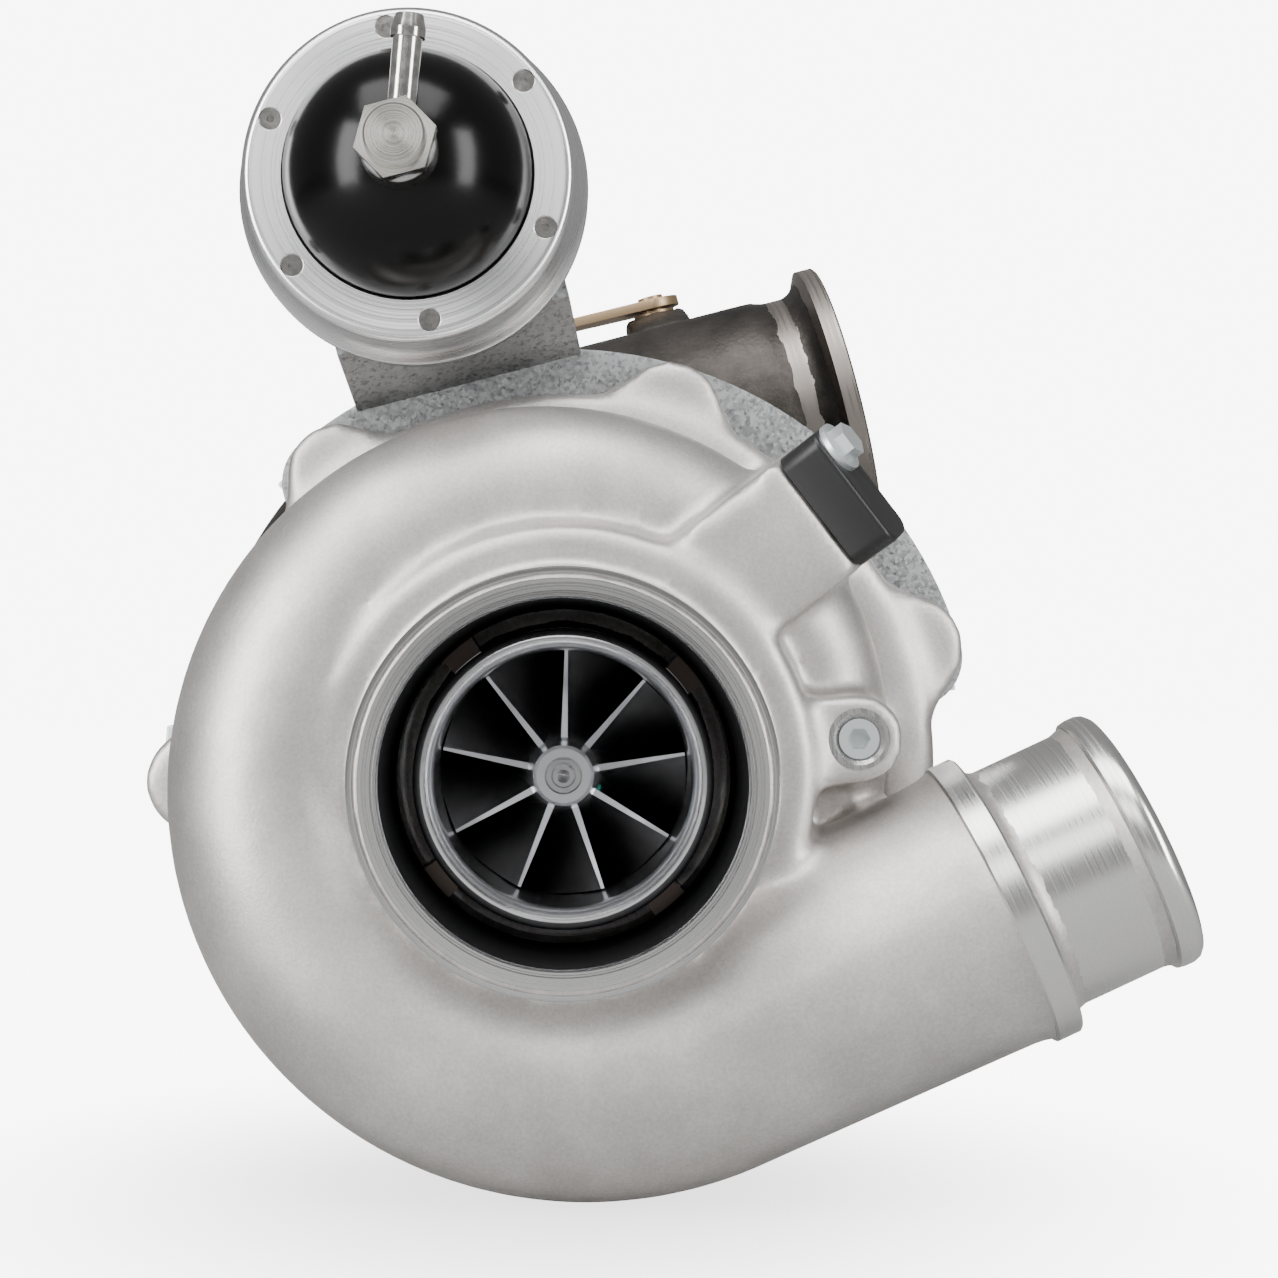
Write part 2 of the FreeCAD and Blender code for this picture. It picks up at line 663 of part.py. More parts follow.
def cover_clamp_plates():
    """Two curved plates that hold the backplate in the cover."""
    back = COVER_BACK_Y + CLAMP_PLATE_THICKNESS
    plates = []
    for start in (0, 3):
        angles = ear_angles()[start:start + 3]
        plate = sector(CLAMP_PLATE_INNER_RADIUS, CLAMP_PLATE_OUTER_RADIUS, COVER_BACK_Y, back,
                       angles[0] - 8, angles[2] + 8)
        holes = []
        for angle in angles:
            centre = polar(EAR_PITCH_RADIUS, angle, 0)
            holes.append(disc(BOLT_RADIUS + HOLE_CLEARANCE, COVER_BACK_Y - 1, back + 1, centre.x, centre.z))
        plates.append(plate.cut(Part.makeCompound(holes)))
    return Part.makeCompound(plates)


def cover_bolts():
    """Bolts that pull the clamp plates to the cover's ears."""
    base_y = COVER_BACK_Y + CLAMP_PLATE_THICKNESS
    length = base_y - (EAR_FRONT_Y + 4)
    return Part.makeCompound([
        bolt(BOLT_RADIUS, length, 12.0, 6.5, polar(EAR_PITCH_RADIUS, angle, base_y), SHAFT_AXIS, 8.0)
        for angle in ear_angles()])


def rounded_slab(width, depth, height, corner):
    """Slab along +Z with round corners, centred on X, starting at Y = 0."""
    made = Part.makeBox(width, depth, height, V(-0.5 * width, 0, 0))
    upright = [e for e in made.Edges if abs(e.tangentAt(e.FirstParameter).z) > 0.99]
    return made.makeFillet(corner, upright)


def sensor_placement(shape):
    """Put a shape made on the pad's own axes (width X, depth Y, normal Z) onto the pad."""
    _, side, normal, depth = sensor_axes()
    corner = sensor_corner()
    matrix = FreeCAD.Matrix(
        -side.x, depth.x, normal.x, corner.x,
        -side.y, depth.y, normal.y, corner.y,
        -side.z, depth.z, normal.z, corner.z,
        0, 0, 0, 1)
    moved = shape.copy()
    moved.Placement = FreeCAD.Placement(matrix)
    return moved


def speed_sensor_plug():
    """Plastic blank that closes the speed sensor opening."""
    slab = rounded_slab(SENSOR_WIDTH, SENSOR_DEPTH, SENSOR_PLUG_HEIGHT, 4.0)
    top = [e for e in slab.Edges if e.BoundBox.ZMin > SENSOR_PLUG_HEIGHT - 0.01]
    slab = slab.makeFillet(1.2, top)
    spigot = Part.makeCylinder(4.8, 20.0, V(7.0, 0.5 * SENSOR_DEPTH, -20.0))
    hole = Part.makeCylinder(3.0 + HOLE_CLEARANCE, 20.0, V(-10.0, 0.5 * SENSOR_DEPTH, -1.0))
    return sensor_placement(joined([slab, spigot]).cut(hole))


def speed_sensor_plug_bolt():
    """M6 flange bolt of the blank."""
    base = V(-10.0, 0.5 * SENSOR_DEPTH, SENSOR_PLUG_HEIGHT)
    return sensor_placement(bolt(3.0, 24.0, 8.0, 5.0, base, V(0, 0, 1), 6.6))


def boost_port_plug():
    """Hexagon-socket plug in the port lug."""
    centre = polar(LUG_REACH, LUG_ANGLE, LUG_FRONT_Y + 0.6)
    body = disc(PORT_PLUG_RADIUS, centre.y, centre.y + 8, centre.x, centre.z)
    socket = aimed(hexagon(5.0, 5.0), V(centre.x, centre.y + 4.0, centre.z), V(0, -1, 0))
    return body.cut(socket)


# ---- rotor and bearings -------------------------------------------------------------------
def rotor_shaft():
    """Stepped steel shaft from the compressor nut to the turbine wheel."""
    return turned([
        (1.65, WHEEL_NOSE_Y - 1.5),
        (SHAFT_RADIUS - 1.4, WHEEL_NOSE_Y - 1.5),
        (SHAFT_RADIUS - 1, WHEEL_NOSE_Y - 1.1),
        (SHAFT_RADIUS - 1, WHEEL_BACK_Y),
        (SHAFT_RADIUS, WHEEL_BACK_Y),
        (SHAFT_RADIUS, JOINT_Y - 6),
        (8.0, JOINT_Y - 6),
        (8.0, JOINT_Y - 2),
        (7.0, JOINT_Y - 2),
        (7.0, JOINT_Y + 0.5),
        (8.0, JOINT_Y + 0.5),
        (8.0, TURBINE_BACK_Y),
        (0, TURBINE_BACK_Y),
        (0, WHEEL_NOSE_Y + 2.0),
        (1.65, WHEEL_NOSE_Y + 1.0),
    ])


def race_front_y():
    """Front face of the bearing cartridge."""
    return BEARING_FRONT_Y - 4.0


def race_rear_y():
    """Rear face of the bearing cartridge."""
    return BEARING_REAR_Y + 4.0


def race_groove(y):
    """Ring that the balls of one row sweep, with their running clearance."""
    return Part.makeTorus(BALL_PITCH_RADIUS, BALL_RADIUS + RACE_CLEARANCE, V(0, y, 0), SHAFT_AXIS)


def bearing_inner_races():
    """Inner race of both rows, one sleeve on the shaft."""
    sleeve = ring(BALL_PITCH_RADIUS - 1.2, SHAFT_RADIUS, race_front_y(), race_rear_y())
    return sleeve.cut(race_groove(BEARING_FRONT_Y)).cut(race_groove(BEARING_REAR_Y))


def bearing_outer_sleeve():
    """Outer race of both rows in one floating sleeve, with oil holes."""
    sleeve = ring(SLEEVE_RADIUS, BALL_PITCH_RADIUS + 1.2, race_front_y(), race_rear_y())
    sleeve = sleeve.cut(race_groove(BEARING_FRONT_Y)).cut(race_groove(BEARING_REAR_Y))
    return sleeve.cut(post(1.5, -SLEEVE_RADIUS - 1, SLEEVE_RADIUS + 1, 0, OIL_AXIS_Y + 3))


def bearing_balls(y):
    """Balls of one row."""
    balls = []
    for step in range(BALL_COUNT):
        centre = polar(BALL_PITCH_RADIUS, 360 / BALL_COUNT * step, y)
        balls.append(Part.makeSphere(BALL_RADIUS, centre))
    return Part.makeCompound(balls)


def bearing_cage(y):
    """Cage that spaces the balls of one row."""
    cage = ring(BALL_PITCH_RADIUS + 0.9, BALL_PITCH_RADIUS - 0.9, y - 3.2, y + 3.2)
    pockets = []
    for step in range(BALL_COUNT):
        direction = polar(1.0, 360 / BALL_COUNT * step, 0)
        pockets.append(stub(BALL_RADIUS + 0.1, V(0, y, 0), direction, 12.0))
    return cage.cut(Part.makeCompound(pockets))


def thrust_collar():
    """Spacer and oil seal sleeve between the wheel and the front race."""
    return ring(9.0, SHAFT_RADIUS, WHEEL_BACK_Y, race_front_y())


def turbine_seal_ring():
    """Split piston ring that seals the hot end of the shaft."""
    gap = block(0, 12, JOINT_Y - 4, JOINT_Y + 3, -0.3, 0.3)
    return ring(8.3, 7.1, JOINT_Y - 1.7, JOINT_Y + 0.2).cut(gap)


# ---- bearing housing ----------------------------------------------------------------------
def v_flange_points(tip_radius, root_radius, plane, sense):
    """Outline of a V-band flange from its mating plane; sense is the way its back points."""
    return [(tip_radius, plane), (tip_radius, plane + sense * 4.0), (root_radius, plane + sense * 7.5)]


def bearing_housing():
    """Cast iron housing: bearing bore, oil gallery and drain, water jacket and V flange."""
    flange = v_flange_points(V_FLANGE_RADIUS, 46.0, JOINT_Y, -1)
    body = turned([
        (0, HOUSING_FRONT_Y),
        (HOUSING_FLANGE_RADIUS, HOUSING_FRONT_Y),
        (HOUSING_FLANGE_RADIUS, HOUSING_FRONT_Y + 6),
        (41.0, HOUSING_FRONT_Y + 6),
        (HOUSING_BODY_RADIUS, HOUSING_FRONT_Y + 12),
        (HOUSING_BODY_RADIUS, JOINT_Y - 13),
        flange[2],
        flange[1],
        flange[0],
        (30.0, JOINT_Y),
        (14.0, JOINT_Y + 8),
        (0, JOINT_Y + 8),
    ])
    pads = [
        block(-19, 19, OIL_AXIS_Y - 9, OIL_AXIS_Y + 9, 20, PAD_REACH),
        block(-27, 27, DRAIN_AXIS_Y - 9, DRAIN_AXIS_Y + 9, -PAD_REACH, -20),
        stub(10.5, V(20, WATER_AXIS_Y, 0), V(1, 0, 0), PAD_REACH - 20),
        stub(10.5, V(-20, WATER_AXIS_Y, 0), V(-1, 0, 0), PAD_REACH - 20),
    ]
    body = body.multiFuse(pads)
    bore = turned([
        (0, HOUSING_FRONT_Y - 1),
        (18.0 + 0.1, HOUSING_FRONT_Y - 1),
        (18.0 + 0.1, race_front_y()),
        (SLEEVE_RADIUS + SEAT_CLEARANCE, race_front_y()),
        (SLEEVE_RADIUS + SEAT_CLEARANCE, race_rear_y()),
        (10.0, race_rear_y()),
        (10.0, JOINT_Y - 5),
        (8.3, JOINT_Y - 5),
        (8.3, JOINT_Y + 9),
        (0, JOINT_Y + 9),
    ])
    jacket = ring(JACKET_OUTER_RADIUS, JACKET_INNER_RADIUS, WATER_AXIS_Y - 4, WATER_AXIS_Y + 5)
    galleries = [
        post(2.0, 5, PAD_REACH, 0, OIL_AXIS_Y),
        post(5.0, PAD_REACH - 12, PAD_REACH + 1, 0, OIL_AXIS_Y),
        post(8.0, -PAD_REACH - 1, -8, 0, DRAIN_AXIS_Y),
        stub(6.5, V(16, WATER_AXIS_Y, 0), V(1, 0, 0), 40),
        stub(6.5, V(-16, WATER_AXIS_Y, 0), V(-1, 0, 0), 40),
        post(3.4, -PAD_REACH - 1, -PAD_REACH + 14, 19, DRAIN_AXIS_Y),
        post(3.4, -PAD_REACH - 1, -PAD_REACH + 14, -19, DRAIN_AXIS_Y),
    ]
    for angle in backplate_screw_angles():
        centre = polar(BACKPLATE_SCREW_PITCH, angle, 0)
        radius = 3.0 + HOLE_CLEARANCE
        galleries.append(disc(radius, HOUSING_FRONT_Y - 1, HOUSING_FRONT_Y + 12, centre.x, centre.z))
    return body.cut(bore).cut(jacket).cut(Part.makeCompound(galleries))


def backplate_screws():
    """Screws that hold the backplate to the bearing housing."""
    base_y = HOUSING_FRONT_Y + 6.0
    return Part.makeCompound([
        bolt(3.0, 16.0, 8.0, 4.5, polar(BACKPLATE_SCREW_PITCH, angle, base_y), SHAFT_AXIS, 5.6)
        for angle in backplate_screw_angles()])


def heat_shield():
    """Dished sheet between the turbine wheel and the bearing housing."""
    return turned([
        (14.4, JOINT_Y + 8.6),
        (33.0, JOINT_Y + 8.6),
        (41.0, JOINT_Y),
        (50.0, JOINT_Y),
        (50.0, JOINT_Y + 1.4),
        (41.6, JOINT_Y + 1.4),
        (34.0, JOINT_Y + 10.0),
        (14.4, JOINT_Y + 10.0),
    ])


def v_band_clamp():
    """Channel-shaped band that pulls the two V flanges together."""
    half = [
        (CLAMP_CREST_RADIUS, 4.1),
        (CLAMP_ROOT_RADIUS, 6.95),
        (CLAMP_ROOT_RADIUS, 9.5),
        (CLAMP_BACK_RADIUS, 5.3),
    ]
    rear = [(radius, JOINT_Y + depth) for radius, depth in half]
    front = [(radius, JOINT_Y - depth) for radius, depth in reversed(half)]
    band = turned(rear + front).cut(block(0, 80, JOINT_Y - 12, JOINT_Y + 12, -5, 5))
    loops = []
    for bottom in (-12.0, 5.0):
        loops.append(block(52.6, 63.0, JOINT_Y - 5, JOINT_Y + 5, bottom, bottom + 7.0))
    hole = post(3.0 + 0.2, -20, 20, CLAMP_BOLT_REACH, JOINT_Y)
    return at_angle(band.multiFuse(loops).cut(hole), CLAMP_BOLT_ANGLE)


def v_band_bolt():
    """T-bolt and nut that close the band."""
    shank = post(3.0, -16.0, 26.0, CLAMP_BOLT_REACH, JOINT_Y)
    bar = block(CLAMP_BOLT_REACH - 3.5, CLAMP_BOLT_REACH + 3.5, JOINT_Y - 5, JOINT_Y + 5, -16.0, -12.2)
    nut = aimed(hexagon(10.0, 6.0), V(CLAMP_BOLT_REACH, JOINT_Y, 12.2), V(0, 0, 1))
    nut = nut.cut(post(3.0, 10, 20, CLAMP_BOLT_REACH, JOINT_Y))
    return at_angle(Part.makeCompound([joined([shank, bar]), nut]), CLAMP_BOLT_ANGLE)


# ---- turbine ------------------------------------------------------------------------------
def turbine_wheel():
    """Cast turbine wheel: the gas comes in at the rim and leaves along the shaft."""
    def hub(share):
        turn = math.radians(90 * share)
        radius = 9.0 + (TURBINE_RADIUS - 1.0 - 9.0) * (1 - math.sin(turn))
        y = TURBINE_BACK_Y + 2.4 + (TURBINE_EXIT_Y - TURBINE_BACK_Y - 3.0) * (1 - math.cos(turn))
        return radius, y

    def tip(share):
        turn = math.radians(90 * share)
        radius = TURBINE_RADIUS - (TURBINE_RADIUS - TURBINE_EXIT_RADIUS) * math.sin(turn)
        y = NOZZLE_BACK_Y - 0.8 + (TURBINE_EXIT_Y - NOZZLE_BACK_Y + 0.8) * (1 - math.cos(turn))
        return radius, y

    rows = [hub(share / 8) for share in range(9)]
    body = curve_wire(rows, [
        (8.2, TURBINE_EXIT_Y + 3),
        (6.5, TURBINE_EXIT_Y + 5),
        (0, TURBINE_EXIT_Y + 5),
        (0, TURBINE_BACK_Y),
        (TURBINE_RADIUS - 1.0, TURBINE_BACK_Y + 1.2),
    ]).revolve(ORIGIN, SHAFT_AXIS, 360)

    def point(along, up):
        along = TURBINE_BLADE_START + (BLADE_END - TURBINE_BLADE_START) * along
        hub_radius, hub_y = hub(along)
        tip_radius, tip_y = tip(along)
        rooted = -0.06 + 1.06 * up
        radius = hub_radius + (tip_radius - hub_radius) * rooted
        y = hub_y + (tip_y - hub_y) * rooted
        return radius, math.radians(-48.0 * along ** 2), y

    def thickness(along, up):
        return 2.2 - 1.0 * up

    first = blade(point, 6, 4, thickness)
    pieces = [outward(body)]
    for step in range(TURBINE_BLADES):
        pieces.append(at_angle(first, 360 / TURBINE_BLADES * step))
    return joined(pieces)


def turbine_scroll(inside):
    """Scroll of the turbine housing, from the inlet duct around the wheel."""
    wires = []
    steps = 14
    for step in range(steps + 1):
        share = step / steps
        area = TURBINE_INLET_BORE ** 2 - share * (TURBINE_INLET_BORE ** 2 - TURBINE_LAST_BORE ** 2)
        inner = math.sqrt(area)
        centre = TURBINE_FIRST_CENTRE + (TURBINE_LAST_CENTRE - TURBINE_FIRST_CENTRE) * share
        radius = inner if inside else inner + TURBINE_WALL
        angle = 90 + TURBINE_SWEEP * share
        wires.append(scroll_section(angle, centre, TURBINE_SCROLL_FRONT_Y + inner, radius))
    return outward(Part.makeLoft(wires, True, False))


def inlet_duct(inside):
    """Straight inlet duct of the turbine housing with its V flange, along +X."""
    outer = TURBINE_INLET_BORE + TURBINE_WALL
    end = INLET_FLANGE_REACH
    if inside:
        made = turned([(0, 0), (TURBINE_INLET_BORE, 0), (TURBINE_INLET_BORE, end + 1), (0, end + 1)])
    else:
        made = turned([
            (0, 0),
            (outer, 0),
            (outer, end - 20),
            (outer - 1.5, end - 18),
            (outer - 1.5, end - 8),
            (INLET_FLANGE_RADIUS, end - 5),
            (INLET_FLANGE_RADIUS, end),
            (0, end),
        ])
    base = V(0, TURBINE_SCROLL_FRONT_Y + TURBINE_INLET_BORE, TURBINE_FIRST_CENTRE)
    made.Placement = FreeCAD.Placement(base, FreeCAD.Rotation(SHAFT_AXIS, V(1, 0, 0)))
    return made


def wastegate_chamber(inside):
    """Chamber behind the inlet duct where the flap swings, and its way down to the outlet."""
    wall = 0.0 if inside else 5.0
    room = block(17 - wall, 73 + wall, 200 if not inside else FLAP_SEAT_Y, 244 + wall, 63 - wall, 98 + wall)
    way = block(17 - wall, 33 + wall, 213 if not inside else FLAP_SEAT_Y, 236 + wall, 15, 70)
    return joined([room, way])


def turbine_housing():
    """Cast turbine housing with scroll, inlet duct, outlet and wastegate chamber."""
    flange = v_flange_points(V_FLANGE_RADIUS, 46.0, JOINT_Y, 1)
    outlet_root = OUTLET_TUBE_RADIUS - 1.5
    core = turned([
        (0, JOINT_Y),
        flange[0],
        flange[1],
        flange[2],
        (46.0, 147.0),
        (66.0, 147.0),
        (67.0, 166.0),
        (52.0, 184.0),
        (OUTLET_TUBE_RADIUS, 196.0),
        (OUTLET_TUBE_RADIUS, OUTLET_END_Y - 16),
        (outlet_root, OUTLET_END_Y - 14),
        (outlet_root, OUTLET_END_Y - 8),
        (OUTLET_FLANGE_RADIUS, OUTLET_END_Y - 4.5),
        (OUTLET_FLANGE_RADIUS, OUTLET_END_Y),
        (0, OUTLET_END_Y),
    ])
    boss_top = LEVER_BOTTOM - 1.0
    boss = post(10.5, 95, boss_top, CRANK_X, CRANK_Y)
    rib = prism([(196, 100), (204, 119), (212, boss_top - 2), (CRANK_Y, boss_top - 2), (CRANK_Y, 100)],
                20.0, lambda shape: upright_x(shape, CRANK_X - 10.0))
    body = joined([core, turbine_scroll(False), inlet_duct(False)])
    body = body.multiFuse([wastegate_chamber(False), boss, rib])
    bore = turned([
        (0, JOINT_Y - 1),
        (50.0 + SEAT_CLEARANCE, JOINT_Y - 1),
        (50.0 + SEAT_CLEARANCE, JOINT_Y + 1.5),
        (43.0, JOINT_Y + 1.5),
        (43.0, NOZZLE_FRONT_Y),
        (66.0, NOZZLE_FRONT_Y),
        (66.0, NOZZLE_BACK_Y),
        (TURBINE_RADIUS + 0.6, NOZZLE_BACK_Y),
        ((TURBINE_EXIT_RADIUS + 1.3, 165.0), (TURBINE_EXIT_RADIUS + 0.5, 171.0)),
        (TURBINE_EXIT_RADIUS + 0.5, 176.0),
        (OUTLET_BORE_RADIUS, 204.0),
        (OUTLET_BORE_RADIUS, OUTLET_END_Y + 1),
        (0, OUTLET_END_Y + 1),
    ])
    for void in (bore, turbine_scroll(True), inlet_duct(True), wastegate_chamber(True)):
        body = body.cut(void)
    port = disc(FLAP_PORT_RADIUS, 196, FLAP_SEAT_Y + 1, FLAP_X, TURBINE_FIRST_CENTRE)
    bush_hole = post(6.5, 97, boss_top + 1, CRANK_X, CRANK_Y)
    return body.cut(Part.makeCompound([port, bush_hole]))


def upright_x(shape, x):
    """Turn a prism of (y, z) points so that its thickness runs along +X from x."""
    moved = shape.copy()
    moved.Placement = FreeCAD.Placement(FreeCAD.Matrix(
        0, 0, 1, x,
        1, 0, 0, 0,
        0, 1, 0, 0,
        0, 0, 0, 1))
    return moved


# ---- wastegate ----------------------------------------------------------------------------
def pin_place():
    """Plan position of the lever pin at rest, half the swing before square."""
    lead = math.radians(0.5 * CRANK_SWING)
    return CRANK_X - CRANK_LENGTH * math.cos(lead), CRANK_Y - CRANK_LENGTH * math.sin(lead)


def eye_place():
    """Plan position of the rod eye at rest: on the mean line of the pin's arc."""
    lead = math.radians(0.5 * CRANK_SWING)
    return CRANK_X - 0.5 * CRANK_LENGTH * (1 + math.cos(lead)), CRANK_Y - CRANK_LENGTH * math.sin(lead)


def wastegate_bush():
    """Bush of the crank in the turbine housing."""
    bush = post(6.5, 98.5, LEVER_BOTTOM - 0.7, CRANK_X, CRANK_Y)
    return bush.cut(post(CRANK_RADIUS + RUNNING_CLEARANCE, 90, 130, CRANK_X, CRANK_Y))


def crank_shaft():
    """Shaft that carries the lever outside and the flap arm inside."""
    return post(CRANK_RADIUS, 72.0, LEVER_BOTTOM + LEVER_THICKNESS + 1.5, CRANK_X, CRANK_Y)


def crank_lever():
    """Flat lever from the crank shaft to the rod pin."""
    x, y = pin_place()
    z = LEVER_BOTTOM
    big = post(8.5, z, z + LEVER_THICKNESS, CRANK_X, CRANK_Y)
    small = post(6.0, z, z + LEVER_THICKNESS, x, y)
    length = math.hypot(CRANK_X - x, CRANK_Y - y)
    web = outline([(0, -8.4), (length, -5.9), (length, 5.9), (0, 8.4)]).extrude(V(0, 0, LEVER_THICKNESS))
    turn = math.degrees(math.atan2(y - CRANK_Y, x - CRANK_X))
    web.rotate(ORIGIN, V(0, 0, 1), turn)
    web.translate(V(CRANK_X, CRANK_Y, z))
    holes = [post(CRANK_RADIUS, z - 1, z + 5, CRANK_X, CRANK_Y), post(PIN_RADIUS, z - 1, z + 5, x, y)]
    return joined([big, small, outward(web)]).cut(Part.makeCompound(holes))


def lever_pin():
    """Headed pin through the lever and the rod eye."""
    x, y = pin_place()
    pin = post(PIN_RADIUS, LEVER_BOTTOM - 2.2, PIN_TOP, x, y)
    head = post(4.6, LEVER_BOTTOM - 2.2, LEVER_BOTTOM, x, y)
    core = post(PIN_RADIUS - 0.6, PIN_TOP - 3, PIN_TOP, x, y)
    groove = post(6.0, PIN_TOP - 2.0, PIN_TOP - 1.1, x, y).cut(core)
    return joined([pin, head]).cut(groove)


def pin_clip():
    """E-clip that keeps the rod eye on the pin."""
    x, y = pin_place()
    core = post(PIN_RADIUS - 0.55, PIN_TOP - 3, PIN_TOP, x, y)
    clip = post(5.6, PIN_TOP - 1.95, PIN_TOP - 1.15, x, y).cut(core)
    return clip.cut(block(x, x + 8, y - 2.2, y + 2.2, PIN_TOP - 3, PIN_TOP))


def flap_arm():
    """Arm from the crank shaft to the flap."""
    z = TURBINE_FIRST_CENTRE
    hub = post(7.5, z - 8, z + 8, CRANK_X, CRANK_Y)
    bar = block(FLAP_X, CRANK_X, CRANK_Y - 3, CRANK_Y + 3, z - 5, z + 5)
    eye = disc(7.0, CRANK_Y - 3, CRANK_Y + 3, FLAP_X, z)
    arm = joined([hub, bar, eye])
    shaft_hole = post(CRANK_RADIUS, z - 12, z + 12, CRANK_X, CRANK_Y)
    stud_hole = disc(3.3, CRANK_Y - 4, CRANK_Y + 4, FLAP_X, z)
    return arm.cut(shaft_hole).cut(stud_hole)


def flap_valve():
    """Flap with its stud; it covers the port."""
    z = TURBINE_FIRST_CENTRE
    plate = disc(FLAP_RADIUS, FLAP_SEAT_Y + 0.05, FLAP_SEAT_Y + 4.4, FLAP_X, z)
    stud = disc(3.1, FLAP_SEAT_Y + 4.4, CRANK_Y + 6.0, FLAP_X, z)
    return joined([plate, stud])


def flap_washer():
    """Washer riveted on the flap's stud."""
    return ring(6.0, 3.1, CRANK_Y + 3.1, CRANK_Y + 5.0, FLAP_X, TURBINE_FIRST_CENTRE)


# ---- actuator -----------------------------------------------------------------------------
def can_turned(points):
    """Turned piece on the actuator's axis."""
    made = turned(points)
    made.translate(V(0, 0, CAN_HEIGHT))
    return made


def ring_screw_places():
    """Plan positions of the ring screws, before clocking."""
    places = []
    for step in range(6):
        angle = math.radians(RING_SCREW_FIRST_ANGLE - CLOCK + 60 * step)
        places.append((RING_SCREW_PITCH_RADIUS * math.cos(angle),
                       CAN_HEIGHT + RING_SCREW_PITCH_RADIUS * math.sin(angle)))
    return places


def screw_holes(radius, front, back):
    """Holes on the ring screws' circle."""
    return Part.makeCompound([disc(radius, front, back, x, z) for x, z in ring_screw_places()])


def actuator_ring():
    """Machined ring that clamps the dome and the diaphragm."""
    made = can_turned([
        (DOME_RADIUS + 0.1, RING_BACK_Y),
        (DOME_RADIUS + 0.1, CAN_FRONT_Y + 0.5),
        (DOME_RADIUS + 0.6, CAN_FRONT_Y),
        (RING_RADIUS - 2.5, CAN_FRONT_Y),
        ((RING_RADIUS - 0.7, CAN_FRONT_Y + 0.7), (RING_RADIUS, CAN_FRONT_Y + 2.5)),
        (RING_RADIUS + 0.3, BODY_FRONT_Y),
        (40.7, BODY_FRONT_Y),
        (40.7, RING_BACK_Y),
    ])
    sinks = []
    for x, z in ring_screw_places():
        cone = Part.makeCone(3.0, 1.5, 2.6, V(x, CAN_FRONT_Y - 0.1, z), SHAFT_AXIS)
        sinks.append(cone)
        sinks.append(disc(1.5, CAN_FRONT_Y, BODY_FRONT_Y, x, z))
    return made.cut(Part.makeCompound(sinks))


def actuator_body():
    """Machined lower half of the actuator with its threaded neck."""
    made = can_turned([
        (30.0, BODY_FRONT_Y),
        (RING_RADIUS + 0.3, BODY_FRONT_Y),
        (RING_RADIUS + 1.2, CAN_BACK_Y - 9),
        ((RING_RADIUS + 2.0, CAN_BACK_Y - 7.4), (CAN_RADIUS - 0.6, CAN_BACK_Y - 6.2)),
        (CAN_RADIUS, CAN_BACK_Y - 5.6),
        (CAN_RADIUS, CAN_BACK_Y - 0.8),
        (CAN_RADIUS - 0.8, CAN_BACK_Y),
        (NECK_RADIUS, CAN_BACK_Y),
        (NECK_RADIUS, NECK_END_Y),
        (6.0, NECK_END_Y),
        (6.0, CAN_BACK_Y - 5),
        (30.0, CAN_BACK_Y - 5),
    ])
    return made.cut(screw_holes(1.45, BODY_FRONT_Y - 1, CAN_BACK_Y - 8))


def actuator_dome():
    """Pressed steel dome that holds the boost pressure."""
    wall = 1.6

    def quarter(radius, height, steps=6):
        rows = []
        for step in range(steps + 1):
            turn = math.radians(90 * step / steps)
            rows.append((radius * math.cos(turn), CAN_FRONT_Y - height * math.sin(turn)))
        return rows

    def shell(radius, height):
        rows = quarter(radius, height)
        return curve_wire(rows, [(0, CAN_FRONT_Y)]).revolve(ORIGIN, SHAFT_AXIS, 360)

    outer = joined([outward(shell(DOME_RADIUS, DOME_HEIGHT)), disc(DOME_RADIUS, CAN_FRONT_Y, DIAPHRAGM_Y),
                    disc(40.5, RING_BACK_Y, DIAPHRAGM_Y), disc(8.5, DOME_TOP_Y - 0.5, CAN_FRONT_Y)])
    inner = joined([outward(shell(DOME_RADIUS - wall, DOME_HEIGHT - wall)),
                    disc(DOME_RADIUS - wall, CAN_FRONT_Y, DIAPHRAGM_Y + 1)])
    hole = disc(5.0, DOME_TOP_Y - 2, CAN_FRONT_Y)
    made = outer.cut(inner).cut(hole)
    made.translate(V(0, 0, CAN_HEIGHT))
    return made.cut(screw_holes(1.6, CAN_FRONT_Y, CAN_FRONT_Y + 20))


def actuator_diaphragm():
    """Rolling rubber diaphragm: rim, sleeve around the piston and cap over it."""
    top = CAN_FRONT_Y - 17.6
    made = can_turned([
        (0, top),
        (PISTON_RADIUS + 1.7, top),
        (PISTON_RADIUS + 1.7, DIAPHRAGM_Y),
        (40.4, DIAPHRAGM_Y),
        (40.4, BODY_FRONT_Y),
        (PISTON_RADIUS + 0.1, BODY_FRONT_Y),
        (PISTON_RADIUS + 0.1, top + 1.5),
        (0, top + 1.5),
    ])
    return made.cut(screw_holes(1.6, CAN_FRONT_Y, CAN_FRONT_Y + 20))


def actuator_piston():
    """Cup under the diaphragm that carries the rod and holds the spring."""
    top = CAN_FRONT_Y - 16.0
    return can_turned([
        (0, top),
        (PISTON_RADIUS, top),
        (PISTON_RADIUS, CAN_FRONT_Y + 7),
        (PISTON_RADIUS - 1.4, CAN_FRONT_Y + 7),
        (PISTON_RADIUS - 1.4, top + 1.5),
        (0, top + 1.5),
    ])


